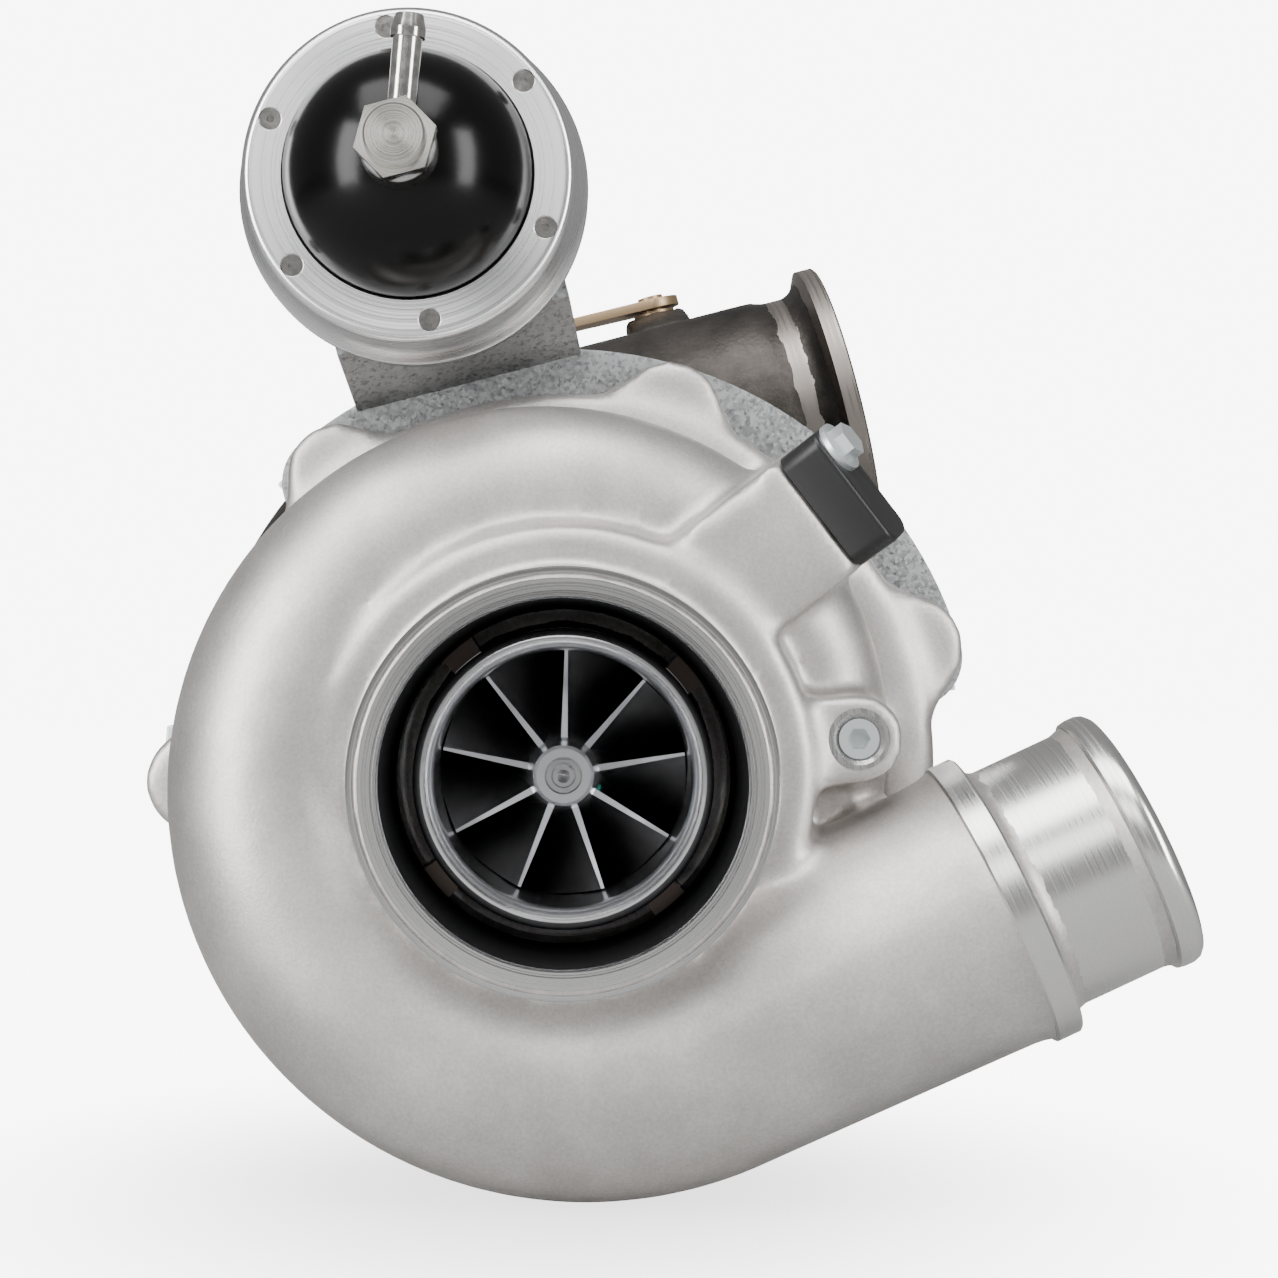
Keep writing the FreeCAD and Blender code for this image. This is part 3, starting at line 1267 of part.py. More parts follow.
def coil_section(turn, pitch):
    """Section of the spring's wire after a number of turns along +Z."""
    angle = 2 * math.pi * turn
    out = V(math.cos(angle), math.sin(angle), 0)
    along = V(-math.sin(angle), math.cos(angle), pitch / (2 * math.pi * SPRING_COIL_RADIUS))
    along.normalize()
    up = along.cross(out)
    middle = out * SPRING_COIL_RADIUS + V(0, 0, pitch * turn)
    corners = []
    for side in range(SPRING_SIDES + 1):
        around = 2 * math.pi * (side % SPRING_SIDES) / SPRING_SIDES
        corners.append(middle + (out * math.cos(around) + up * math.sin(around)) * SPRING_WIRE_RADIUS)
    return Part.makePolygon(corners)


def actuator_spring():
    """Coil spring that holds the wastegate shut."""
    front = CAN_FRONT_Y - 14.4 + SPRING_WIRE_RADIUS
    back = CAN_BACK_Y - 5.1 - SPRING_WIRE_RADIUS
    pitch = (back - front) / SPRING_TURNS
    steps = SPRING_TURNS * SPRING_STEPS
    sections = [coil_section(step / SPRING_STEPS, pitch) for step in range(steps + 1)]
    coil = outward(Part.makeLoft(sections, True, True))
    coil.rotate(ORIGIN, V(1, 0, 0), -90)
    coil.translate(V(0, front, CAN_HEIGHT))
    return coil


def actuator_guide_bush():
    """Guide bush of the rod in the actuator's neck."""
    return ring(6.0, ROD_RADIUS + RUNNING_CLEARANCE, CAN_BACK_Y - 5, NECK_END_Y, 0, CAN_HEIGHT)


def actuator_lock_nut():
    """Thin nut that holds the actuator in the bracket."""
    nut = aimed(hexagon(30.0, 5.0), V(0, CAN_BACK_Y + 10.0, CAN_HEIGHT), SHAFT_AXIS)
    return nut.cut(disc(NECK_RADIUS, CAN_BACK_Y, NECK_END_Y + 1, 0, CAN_HEIGHT))


def ring_screws():
    """Small countersunk screws around the dome."""
    screws = []
    for x, z in ring_screw_places():
        head = Part.makeCone(2.7, 1.4, 1.9, V(x, CAN_FRONT_Y + 0.4, z), SHAFT_AXIS)
        shank = disc(1.4, CAN_FRONT_Y + 2.2, BODY_FRONT_Y + 9, x, z)
        socket = aimed(hexagon(1.9, 1.6), V(x, CAN_FRONT_Y + 1.7, z), V(0, -1, 0))
        screws.append(joined([head, shank]).cut(socket))
    return Part.makeCompound(screws)


def rod_line():
    """Path of the actuator rod: straight, a jog down to the lever, straight."""
    x, y = eye_place()
    start = V(0, CAN_FRONT_Y - 14.5, CAN_HEIGHT)
    bend = V(0, 142.0, CAN_HEIGHT)
    rejoin = V(x, 182.0, EYE_HEIGHT)
    end = V(x, y - 14.0, EYE_HEIGHT)
    return [start, bend, rejoin, end]


def rounded_path(points, radius):
    """Wire of straight runs joined by tangent arcs."""
    edges = []
    corner = points[0]
    for index in range(1, len(points) - 1):
        before = points[index - 1] - points[index]
        after = points[index + 1] - points[index]
        before.normalize()
        after.normalize()
        turn = math.pi - before.getAngle(after)
        reach = radius * math.tan(0.5 * turn)
        first = points[index] + before * reach
        last = points[index] + after * reach
        inward = before + after
        inward.normalize()
        middle = points[index] + inward * (radius / math.cos(0.5 * turn) - radius)
        edges.append(Part.makeLine(corner, first))
        edges.append(Part.Arc(first, middle, last).toShape())
        corner = last
    edges.append(Part.makeLine(corner, points[-1]))
    return Part.Wire(edges)


def actuator_rod():
    """Steel rod from the piston to the rod end."""
    path = rounded_path(rod_line(), 18.0)
    section = Part.Wire(Part.makeCircle(ROD_RADIUS, rod_line()[0], SHAFT_AXIS))
    return outward(path.makePipeShell([section], True, False))


def rod_end():
    """Rod end: threaded sleeve, flat blade and eye around the lever pin."""
    x, y = eye_place()
    low = EYE_HEIGHT - 2.0
    high = EYE_HEIGHT + 2.0
    sleeve = aimed(hexagon(9.0, 14.0), V(x, y - 24.0, EYE_HEIGHT), SHAFT_AXIS)
    made = joined([sleeve, block(x - 4.2, x + 4.2, y - 11.0, y, low, high), post(7.0, low, high, x, y)])
    made = made.cut(disc(ROD_RADIUS, y - 25.0, y - 14.0, x, EYE_HEIGHT))
    return made.cut(post(PIN_RADIUS + EYE_CLEARANCE, low - 1, high + 1, x, y))


def rod_jam_nut():
    """Nut that locks the rod end on the rod."""
    x, y = eye_place()
    nut = aimed(hexagon(10.0, 4.0), V(x, y - 28.2, EYE_HEIGHT), SHAFT_AXIS)
    return nut.cut(disc(ROD_RADIUS, y - 30, y - 20, x, EYE_HEIGHT))


def hose_direction():
    """Direction of the pressure hose barb, before clocking."""
    return polar(1.0, HOSE_ANGLE - CLOCK, 0)


def banjo_fitting():
    """Banjo eye with its hose tube; the tube ends in a barb."""
    centre = V(0, DOME_TOP_Y - 7.5, CAN_HEIGHT)
    along = hose_direction()
    eye = disc(9.2, centre.y - 5.2, centre.y + 5.2, 0, CAN_HEIGHT)
    tube = turned([(0, 5), (3.5, 5), (3.5, 25.2), (4.15, 25.4), (4.15, 27.4), (3.3, 30.8), (0, 30.8)])
    tube.Placement = FreeCAD.Placement(centre, FreeCAD.Rotation(SHAFT_AXIS, along))
    made = joined([eye, tube])
    made = made.cut(disc(6.2, centre.y - 8, centre.y + 8, 0, CAN_HEIGHT))
    return made.cut(stub(2.0, centre, along, 40.0))


def banjo_washers():
    """Sealing washers on both sides of the banjo eye."""
    centre_y = DOME_TOP_Y - 7.5
    return Part.makeCompound([
        ring(8.8, 5.2, centre_y + 5.2, DOME_TOP_Y - 0.5, 0, CAN_HEIGHT),
        ring(8.8, 5.2, centre_y - 6.9, centre_y - 5.2, 0, CAN_HEIGHT)])


def banjo_bolt():
    """Hollow bolt with a hexagon and a turned round head."""
    head_y = DOME_TOP_Y - 14.4
    head = aimed(hexagon(17.0, 5.6), V(0, head_y, CAN_HEIGHT), V(0, -1, 0))
    rounded = can_turned([
        (0, head_y - 9.6),
        (6.6, head_y - 9.6),
        (7.1, head_y - 9.1),
        (7.3, head_y - 5.6),
        (0, head_y - 5.6),
    ])
    shank = disc(4.95, head_y, CAN_FRONT_Y - 22.0, 0, CAN_HEIGHT)
    made = joined([head, rounded, shank])
    centre = V(0, DOME_TOP_Y - 7.5, CAN_HEIGHT)
    made = made.cut(disc(2.2, centre.y - 1, CAN_FRONT_Y - 20, 0, CAN_HEIGHT))
    return made.cut(stub(1.6, centre - hose_direction() * 6, hose_direction(), 12.0))


def actuator_bracket():
    """Bracket from the cover's rear flange up to the actuator."""
    front = COVER_BACK_Y - BRACKET_THICKNESS
    arc = sector(BACKPLATE_RADIUS + 2.9, BRACKET_OUTER_RADIUS, front, COVER_BACK_Y,
                 BRACKET_FIRST_ANGLE + 3.5, BRACKET_LAST_ANGLE - 3.5)
    lobes = []
    for angle in (EAR_FIRST_ANGLE - 1.5, EAR_FIRST_ANGLE + 2 * EAR_SPACING + 1.5):
        centre = polar(EAR_PITCH_RADIUS, angle, 0)
        lobes.append(disc(13.6, front, COVER_BACK_Y, centre.x, centre.z))
    inner_limit = disc(BACKPLATE_RADIUS + 2.9, front - 1, COVER_BACK_Y + 1)
    side = [
        (front, 98.0),
        (front, 105.0),
        (CAN_BACK_Y, 118.0),
        (CAN_BACK_Y, CAN_HEIGHT + 4),
        (CAN_BACK_Y + 10, CAN_HEIGHT + 4),
        (CAN_BACK_Y + 10, 128.0),
        (COVER_BACK_Y, 114.0),
        (COVER_BACK_Y, 98.0),
    ]
    arm = prism(side, 62.0, lambda shape: upright_x(shape, -30.0))
    pad = disc(29.0, CAN_BACK_Y, CAN_BACK_Y + 10, 1.0, CAN_HEIGHT)
    arm = clocked(joined([arm, pad]))
    made = joined([arc, arm] + lobes).cut(inner_limit)
    holes = [clocked(disc(NECK_RADIUS + 0.1, CAN_BACK_Y - 1, CAN_BACK_Y + 11, 0, CAN_HEIGHT))]
    for angle in ear_angles()[:3]:
        centre = polar(EAR_PITCH_RADIUS, angle, 0)
        holes.append(disc(BOLT_RADIUS + HOLE_CLEARANCE, front - 1, COVER_BACK_Y + 1, centre.x, centre.z))
    return made.cut(Part.makeCompound(holes))


# ---- assembly -----------------------------------------------------------------------------
COLD_PIECES = {
    "compressor_cover": compressor_cover,
    "ported_shroud_insert": ported_shroud_insert,
    "compressor_backplate": compressor_backplate,
    "cover_o_ring": cover_o_ring,
    "cover_clamp_plates": cover_clamp_plates,
    "cover_bolts": cover_bolts,
    "speed_sensor_plug": speed_sensor_plug,
    "speed_sensor_plug_bolt": speed_sensor_plug_bolt,
    "boost_port_plug": boost_port_plug,
    "compressor_wheel": compressor_wheel,
    "compressor_nut": compressor_nut,
    "rotor_shaft": rotor_shaft,
    "thrust_collar": thrust_collar,
    "bearing_inner_races": bearing_inner_races,
    "bearing_outer_sleeve": bearing_outer_sleeve,
    "front_balls": lambda: bearing_balls(BEARING_FRONT_Y),
    "front_cage": lambda: bearing_cage(BEARING_FRONT_Y),
    "rear_balls": lambda: bearing_balls(BEARING_REAR_Y),
    "rear_cage": lambda: bearing_cage(BEARING_REAR_Y),
    "turbine_seal_ring": turbine_seal_ring,
    "bearing_housing": bearing_housing,
    "backplate_screws": backplate_screws,
    "heat_shield": heat_shield,
    "v_band_clamp": v_band_clamp,
    "v_band_bolt": v_band_bolt,
    "turbine_wheel": turbine_wheel,
    "actuator_bracket": actuator_bracket,
}

CLOCKED_PIECES = {
    "turbine_housing": turbine_housing,
    "wastegate_bush": wastegate_bush,
    "crank_shaft": crank_shaft,
    "crank_lever": crank_lever,
    "lever_pin": lever_pin,
    "pin_clip": pin_clip,
    "flap_arm": flap_arm,
    "flap_valve": flap_valve,
    "flap_washer": flap_washer,
    "actuator_ring": actuator_ring,
    "actuator_body": actuator_body,
    "actuator_dome": actuator_dome,
    "actuator_diaphragm": actuator_diaphragm,
    "actuator_piston": actuator_piston,
    "actuator_spring": actuator_spring,
    "actuator_guide_bush": actuator_guide_bush,
    "actuator_lock_nut": actuator_lock_nut,
    "ring_screws": ring_screws,
    "actuator_rod": actuator_rod,
    "rod_end": rod_end,
    "rod_jam_nut": rod_jam_nut,
    "banjo_fitting": banjo_fitting,
    "banjo_washers": banjo_washers,
    "banjo_bolt": banjo_bolt,
}


def main():
    """Build every piece and write one STEP file for each."""
    os.makedirs("parts", exist_ok=True)
    for name, build in COLD_PIECES.items():
        build().exportStep(os.path.join("parts", name + ".step"))
    for name, build in CLOCKED_PIECES.items():
        clocked(build()).exportStep(os.path.join("parts", name + ".step"))


main()
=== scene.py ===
"""Looks of a ball-bearing turbocharger with a ported cover and an internal wastegate.

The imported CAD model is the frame. Cast pieces get copies with softened edges, machined bands
lie a hair proud of them, and every piece gets the finish it has on the real one. Metres; the
origin is on the shaft axis in the inlet face, +X is right, +Y runs to the turbine, +Z is up.
"""

from __future__ import annotations

import logging
import math
from dataclasses import dataclass
from enum import Enum
from typing import Any, Sequence

import bpy
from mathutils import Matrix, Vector

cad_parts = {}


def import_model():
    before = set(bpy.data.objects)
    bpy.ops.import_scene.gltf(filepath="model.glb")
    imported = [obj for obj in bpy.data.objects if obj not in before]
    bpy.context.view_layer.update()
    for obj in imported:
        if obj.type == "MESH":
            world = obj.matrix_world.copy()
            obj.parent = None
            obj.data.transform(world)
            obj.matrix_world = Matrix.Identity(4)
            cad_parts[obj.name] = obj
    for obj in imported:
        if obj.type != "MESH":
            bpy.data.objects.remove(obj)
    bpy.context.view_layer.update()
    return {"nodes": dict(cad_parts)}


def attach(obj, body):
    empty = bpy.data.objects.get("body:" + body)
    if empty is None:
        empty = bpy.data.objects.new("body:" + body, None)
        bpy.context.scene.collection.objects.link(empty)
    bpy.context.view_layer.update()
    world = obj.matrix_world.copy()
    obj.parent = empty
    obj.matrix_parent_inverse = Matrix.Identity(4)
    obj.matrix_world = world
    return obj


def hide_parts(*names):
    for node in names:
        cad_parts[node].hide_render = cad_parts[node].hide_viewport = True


LOG = logging.getLogger("turbocharger")
MM = 0.001
CLOCK = math.radians(14.5)  # turn of the hot side and the actuator about the shaft
WELD = 0.000002  # loose triangle corners closer than this are one point
TURNED_SMOOTH = math.radians(35)  # a turned piece is shaded smooth across blunter edges


class Body(Enum):
    """The moving groups of the frame."""

    HOUSING = "housing"
    ROTOR = "rotor"
    FRONT_BALLS = "front_ball_row"
    REAR_BALLS = "rear_ball_row"
    ROD = "actuator_rod_assembly"
    CRANK = "wastegate_crank"


@dataclass(frozen=True)
class Line:
    """An axis that pieces and tool marks turn about."""

    origin: tuple[float, float, float]
    direction: tuple[float, float, float] = (0.0, 1.0, 0.0)

    def across(self) -> Vector:
        """A unit vector at right angles to the axis."""
        along = Vector(self.direction)
        helper = Vector((0, 0, 1)) if abs(along.z) < 0.9 else Vector((1, 0, 0))
        return along.cross(helper).normalized()

    def at(self, radius: float, along: float) -> Vector:
        """Place of a profile point.

        Args:
            radius: Distance from the axis, mm.
            along: Distance along the axis from its origin, mm.

        Returns:
            The point in metres.
        """
        start = Vector(self.origin) * MM
        return start + Vector(self.direction) * (along * MM) + self.across() * (radius * MM)


def clocked(x: float, y: float, z: float) -> tuple[float, float, float]:
    """Turn a hot-side place or direction to its clocked one."""
    return (
        x * math.cos(CLOCK) - z * math.sin(CLOCK),
        y,
        x * math.sin(CLOCK) + z * math.cos(CLOCK),
    )


SHAFT = Line((0.0, 0.0, 0.0))
CAN = Line(clocked(0.0, 0.0, 153.5))
DISCHARGE = Line(
    (75.8 * math.cos(math.radians(295)), 48.7, 75.8 * math.sin(math.radians(295))),
    (math.cos(math.radians(25)), 0.0, math.sin(math.radians(25))),
)
DUCT = Line(clocked(0.0, 180.0, 80.0), clocked(1.0, 0.0, 0.0))
LUG = Line((73.6 * math.cos(math.radians(7)), 0.0, 73.6 * math.sin(math.radians(7))))


# ---- shader helpers ------------------------------------------------------------------------
def linear(code: str) -> tuple[float, float, float, float]:
    """Turn an sRGB hex colour to the linear one that shaders take.

    Args:
        code: Colour such as "#c8c4be".

    Returns:
        Red, green, blue and a full alpha.
    """
    parts = []
    for start in (1, 3, 5):
        value = int(code[start:start + 2], 16) / 255
        parts.append(value / 12.92 if value <= 0.04045 else ((value + 0.055) / 1.055) ** 2.4)
    return (parts[0], parts[1], parts[2], 1.0)


def add_node(
    tree: bpy.types.NodeTree,
    kind: str,
    settings: dict[str, Any] | None = None,
    inputs: dict[str | int, Any] | None = None,
) -> bpy.types.Node:
    """Add a shader node with its settings, its values and its links.

    Args:
        tree: The material's node tree.
        kind: Blender's name of the node type.
        settings: Properties to set.
        inputs: Values by socket; a socket given as the value is linked.

    Returns:
        The new node.
    """
    made = tree.nodes.new(kind)
    for name, value in (settings or {}).items():
        setattr(made, name, value)
    for name, value in (inputs or {}).items():
        if isinstance(value, bpy.types.NodeSocket):
            tree.links.new(value, made.inputs[name])
        else:
            made.inputs[name].default_value = value
    return made


@dataclass(frozen=True)
class Finish:
    """A surface as it is made; each kind adds its own pattern."""

    name: str
    colour: str
    roughness: float
    metallic: float = 1.0

    def material(self) -> bpy.types.Material:
        """Give the material of this finish, made once."""
        found = bpy.data.materials.get(self.name)
        if found:
            return found
        made = bpy.data.materials.new(self.name)
        made.use_nodes = True
        tree = made.node_tree
        shader = tree.nodes["Principled BSDF"]
        shader.inputs["Base Color"].default_value = linear(self.colour)
        shader.inputs["Roughness"].default_value = self.roughness
        shader.inputs["Metallic"].default_value = self.metallic
        self.pattern(tree, shader)
        return made

    def pattern(self, tree: bpy.types.NodeTree, shader: bpy.types.Node) -> None:
        """Add the surface's pattern to its shader."""

    def place(self, tree: bpy.types.NodeTree) -> bpy.types.NodeSocket:
        """Give the socket with the surface point in metres."""
        return add_node(tree, "ShaderNodeTexCoord").outputs["Object"]

    def mottle(
        self, tree: bpy.types.NodeTree, size_mm: float, light: str, dark: str, detail: float = 3.0
    ) -> bpy.types.NodeSocket:
        """Two colours mixed in soft patches.

        Args:
            tree: The material's node tree.
            size_mm: Width of a patch.
            light: Lighter colour.
            dark: Darker colour.
            detail: Finer levels in the patches.

        Returns:
            The socket with the colour.
        """
        noise = add_node(
            tree, "ShaderNodeTexNoise", {},
            {
                "Vector": self.place(tree),
                "Scale": 1000 / size_mm,
                "Detail": detail,
                "Roughness": 0.6,
            },
        )
        ramp = add_node(tree, "ShaderNodeValToRGB", {}, {"Fac": noise.outputs["Fac"]})
        ramp.color_ramp.elements[0].position = 0.36
        ramp.color_ramp.elements[0].color = linear(dark)
        ramp.color_ramp.elements[1].position = 0.64
        ramp.color_ramp.elements[1].color = linear(light)
        return ramp.outputs["Color"]


@dataclass(frozen=True)
class CastFinish(Finish):
    """Sand-cast metal: fine grit all over, faint patches, a soft broad gloss."""

    dark: str = "#8f8c88"
    grit_mm: float = 0.9
    grit_height_mm: float = 0.10
    patch_mm: float = 26.0

    def pattern(self, tree: bpy.types.NodeTree, shader: bpy.types.Node) -> None:
        """Mottle the colour, and raise a fine grit."""
        patches = self.mottle(tree, self.patch_mm, self.colour, self.dark)
        specks = add_node(
            tree, "ShaderNodeTexNoise", {},
            {
                "Vector": self.place(tree),
                "Scale": 1000 / self.grit_mm,
                "Detail": 2.0,
                "Roughness": 0.7,
            },
        )
        shade = add_node(
            tree, "ShaderNodeMapRange", {},
            {
                "Value": specks.outputs["Fac"],
                "From Min": 0.3,
                "From Max": 0.7,
                "To Min": 0.88,
                "To Max": 1.08,
            },
        )
        grey = add_node(
            tree, "ShaderNodeVectorMath", {"operation": "SCALE"},
            {0: patches, "Scale": shade.outputs["Result"]},
        )
        tree.links.new(grey.outputs["Vector"], shader.inputs["Base Color"])
        bump = add_node(
            tree, "ShaderNodeBump", {},
            {
                "Height": specks.outputs["Fac"],
                "Strength": 0.55,
                "Distance": self.grit_height_mm * MM,
            },
        )
        tree.links.new(bump.outputs["Normal"], shader.inputs["Normal"])


@dataclass(frozen=True)
class TurnedFinish(Finish):
    """Metal turned on a lathe: fine rings about an axis that draw the gloss out across them."""

    line: Line = SHAFT
    pitch_mm: float = 0.55
    groove_mm: float = 0.010
    anisotropy: float = 0.6

    def pattern(self, tree: bpy.types.NodeTree, shader: bpy.types.Node) -> None:
        """Lay tool marks in rings about the axis, with the gloss stretched across them."""
        along = Vector(self.line.direction)
        start = Vector(self.line.origin) * MM
        offset = add_node(
            tree, "ShaderNodeVectorMath", {"operation": "SUBTRACT"}, {0: self.place(tree), 1: start}
        )
        depth = add_node(
            tree, "ShaderNodeVectorMath", {"operation": "DOT_PRODUCT"},
            {0: offset.outputs["Vector"], 1: along},
        )
        tangent = add_node(
            tree, "ShaderNodeVectorMath", {"operation": "CROSS_PRODUCT"},
            {0: along, 1: offset.outputs["Vector"]},
        )
        radius = add_node(
            tree, "ShaderNodeVectorMath", {"operation": "LENGTH"}, {0: tangent.outputs["Vector"]}
        )
        ring = add_node(
            tree, "ShaderNodeCombineXYZ", {},
            {"X": radius.outputs["Value"], "Y": depth.outputs["Value"]},
        )
        marks = add_node(
            tree, "ShaderNodeTexNoise", {"noise_dimensions": "2D"},
            {
                "Vector": ring.outputs["Vector"],
                "Scale": 1000 / self.pitch_mm,
                "Detail": 3.0,
                "Roughness": 0.65,
            },
        )
        gloss = add_node(
            tree, "ShaderNodeMapRange", {},
            {
                "Value": marks.outputs["Fac"], "From Min": 0.3, "From Max": 0.7,
                "To Min": self.roughness * 0.75, "To Max": self.roughness * 1.35,
            },
        )
        bump = add_node(
            tree, "ShaderNodeBump", {},
            {"Height": marks.outputs["Fac"], "Strength": 0.8, "Distance": self.groove_mm * MM},
        )
        shader.inputs["Anisotropic"].default_value = self.anisotropy
        tree.links.new(gloss.outputs["Result"], shader.inputs["Roughness"])
        tree.links.new(bump.outputs["Normal"], shader.inputs["Normal"])
        tree.links.new(tangent.outputs["Vector"], shader.inputs["Tangent"])


@dataclass(frozen=True)
class PlatedFinish(Finish):
    """Zinc-plated or ground steel: even metal with a slight cloudiness."""

    dark: str = "#8e949b"
    patch_mm: float = 3.0

    def pattern(self, tree: bpy.types.NodeTree, shader: bpy.types.Node) -> None:
        """Cloud the colour and dull the gloss in the same patches."""
        patches = self.mottle(tree, self.patch_mm, self.colour, self.dark)
        tree.links.new(patches, shader.inputs["Base Color"])
        cloud = add_node(
            tree, "ShaderNodeTexNoise", {},
            {"Vector": self.place(tree), "Scale": 1000 / self.patch_mm, "Detail": 4.0},
        )
        gloss = add_node(
            tree, "ShaderNodeMapRange", {},
            {
                "Value": cloud.outputs["Fac"],
                "To Min": self.roughness * 0.7,
                "To Max": self.roughness * 1.3,
            },
        )
        tree.links.new(gloss.outputs["Result"], shader.inputs["Roughness"])


@dataclass(frozen=True)
class SpangledFinish(Finish):
    """Hot-dip galvanised plate: zinc crystals of different greys a few millimetres wide."""

    dark: str = "#6d6f70"
    crystal_mm: float = 0.9

    def pattern(self, tree: bpy.types.NodeTree, shader: bpy.types.Node) -> None:
        """Give each crystal its own grey and gloss, with fine flecks on top."""
        warp = add_node(
            tree, "ShaderNodeTexNoise", {},
            {"Vector": self.place(tree), "Scale": 1000 / self.crystal_mm, "Detail": 2.0},
        )
        shifted = add_node(
            tree, "ShaderNodeVectorMath", {"operation": "MULTIPLY_ADD"},
            {0: warp.outputs["Color"], 1: (0.001, 0.001, 0.001), 2: self.place(tree)},
        )
        crystals = add_node(
            tree, "ShaderNodeTexVoronoi", {},
            {"Vector": shifted.outputs["Vector"], "Scale": 1000 / self.crystal_mm},
        )
        grey = add_node(tree, "ShaderNodeSeparateXYZ", {}, {"Vector": crystals.outputs["Color"]})
        flecks = add_node(
            tree, "ShaderNodeTexNoise", {},
            {"Vector": self.place(tree), "Scale": 1400.0, "Detail": 3.0, "Roughness": 0.8},
        )
        mixed = add_node(
            tree, "ShaderNodeMath", {"operation": "MULTIPLY_ADD"},
            {0: flecks.outputs["Fac"], 1: 1.1, 2: grey.outputs["X"]},
        )
        ramp = add_node(tree, "ShaderNodeValToRGB", {}, {"Fac": mixed.outputs["Value"]})
        ramp.color_ramp.elements[0].position = 0.35
        ramp.color_ramp.elements[0].color = linear(self.dark)
        ramp.color_ramp.elements[1].position = 1.0
        ramp.color_ramp.elements[1].color = linear(self.colour)
        tree.links.new(ramp.outputs["Color"], shader.inputs["Base Color"])
        gloss = add_node(
            tree, "ShaderNodeMapRange", {},
            {
                "Value": grey.outputs["Y"],
                "To Min": self.roughness * 0.7,
                "To Max": self.roughness * 1.3,
            },
        )
        tree.links.new(gloss.outputs["Result"], shader.inputs["Roughness"])
        bump = add_node(
            tree, "ShaderNodeBump", {},
            {"Height": flecks.outputs["Fac"], "Strength": 0.5, "Distance": 0.00006},
        )
        tree.links.new(bump.outputs["Normal"], shader.inputs["Normal"])


@dataclass(frozen=True)
class PaintFinish(Finish):
    """Sprayed enamel or moulded plastic: one colour, a faint waviness, its own gloss."""

    metallic: float = 0.0
    wave_mm: float = 4.0
    wave_height_mm: float = 0.004
    gloss: float = 0.5

    def pattern(self, tree: bpy.types.NodeTree, shader: bpy.types.Node) -> None:
        """Raise the waviness or moulding texture, and set how much it mirrors."""
        shader.inputs["Specular IOR Level"].default_value = self.gloss
        wave = add_node(
            tree, "ShaderNodeTexNoise", {},
            {"Vector": self.place(tree), "Scale": 1000 / self.wave_mm, "Detail": 2.0},
        )
        bump = add_node(
            tree, "ShaderNodeBump", {},
            {"Height": wave.outputs["Fac"], "Strength": 0.7, "Distance": self.wave_height_mm * MM},
        )
        tree.links.new(bump.outputs["Normal"], shader.inputs["Normal"])


@dataclass(frozen=True)
class WheelFinish(Finish):
    """Milled wheel: bright edges at the eye, and painted shade that darkens the faces down the
    channels.
    """

    # The channels' shade is painted: the colour fades to this near black with depth.
    painted_shade_colour: str = "#161618"
    shade_start_mm: float = 48.6
    full_shade_from_mm: float = 63.0

    def pattern(self, tree: bpy.types.NodeTree, shader: bpy.types.Node) -> None:
        """Paint shade on the metal that deepens with its depth behind the eye, and lay fine milling
        lines on it.
        """
        spot = add_node(tree, "ShaderNodeSeparateXYZ", {}, {"Vector": self.place(tree)})
        share = add_node(
            tree, "ShaderNodeMapRange", {},
            {
                "Value": spot.outputs["Y"], "From Min": self.shade_start_mm * MM,
                "From Max": self.full_shade_from_mm * MM,
            },
        )
        ramp = add_node(tree, "ShaderNodeValToRGB", {}, {"Fac": share.outputs["Result"]})
        ramp.color_ramp.elements[0].color = linear(self.colour)
        ramp.color_ramp.elements[1].color = linear(self.painted_shade_colour)
        tree.links.new(ramp.outputs["Color"], shader.inputs["Base Color"])
        lines = add_node(
            tree, "ShaderNodeTexNoise", {},
            {"Vector": self.place(tree), "Scale": 1800.0, "Detail": 2.0},
        )
        bump = add_node(
            tree, "ShaderNodeBump", {},
            {"Height": lines.outputs["Fac"], "Strength": 0.4, "Distance": 0.00001},
        )
        tree.links.new(bump.outputs["Normal"], shader.inputs["Normal"])


@dataclass(frozen=True)
class ZonedFinish(Finish):
    """One machined piece that is bright near the shaft, with the port's shade painted on further out.
    """

    # Painted shade in the port: dark brown-grey at middle radii, near black further out.
    middle: str = "#4a423e"
    outer: str = "#070707"
    shade_start_mm: float = 36.45
    full_shade_from_mm: float = 40.8

    def pattern(self, tree: bpy.types.NodeTree, shader: bpy.types.Node) -> None:
        """Change the colour in steps with the distance from the shaft: bright metal, then painted
        shade.
        """
        offset = add_node(
            tree, "ShaderNodeVectorMath", {"operation": "MULTIPLY"},
            {0: self.place(tree), 1: (1.0, 0.0, 1.0)},
        )
        radius = add_node(
            tree, "ShaderNodeVectorMath", {"operation": "LENGTH"}, {0: offset.outputs["Vector"]}
        )
        share = add_node(
            tree, "ShaderNodeMapRange", {},
            {"Value": radius.outputs["Value"], "From Max": 2 * self.full_shade_from_mm * MM},
        )
        ramp = add_node(tree, "ShaderNodeValToRGB", {}, {"Fac": share.outputs["Result"]})
        steps = ramp.color_ramp
        steps.interpolation = "CONSTANT"
        steps.elements[0].color = linear(self.colour)
        steps.elements[1].position = 0.5
        steps.elements[1].color = linear(self.outer)
        border = steps.elements.new(0.5 * self.shade_start_mm / self.full_shade_from_mm)
        border.color = linear(self.middle)
        tree.links.new(ramp.outputs["Color"], shader.inputs["Base Color"])


# Shot blasting leaves a fine grit that spreads every highlight into a soft grey.
CAST_ALUMINIUM = CastFinish("shot_blasted_cast_aluminium", "#d6d2cf", 0.5, 1.0, dark="#c5c1be")
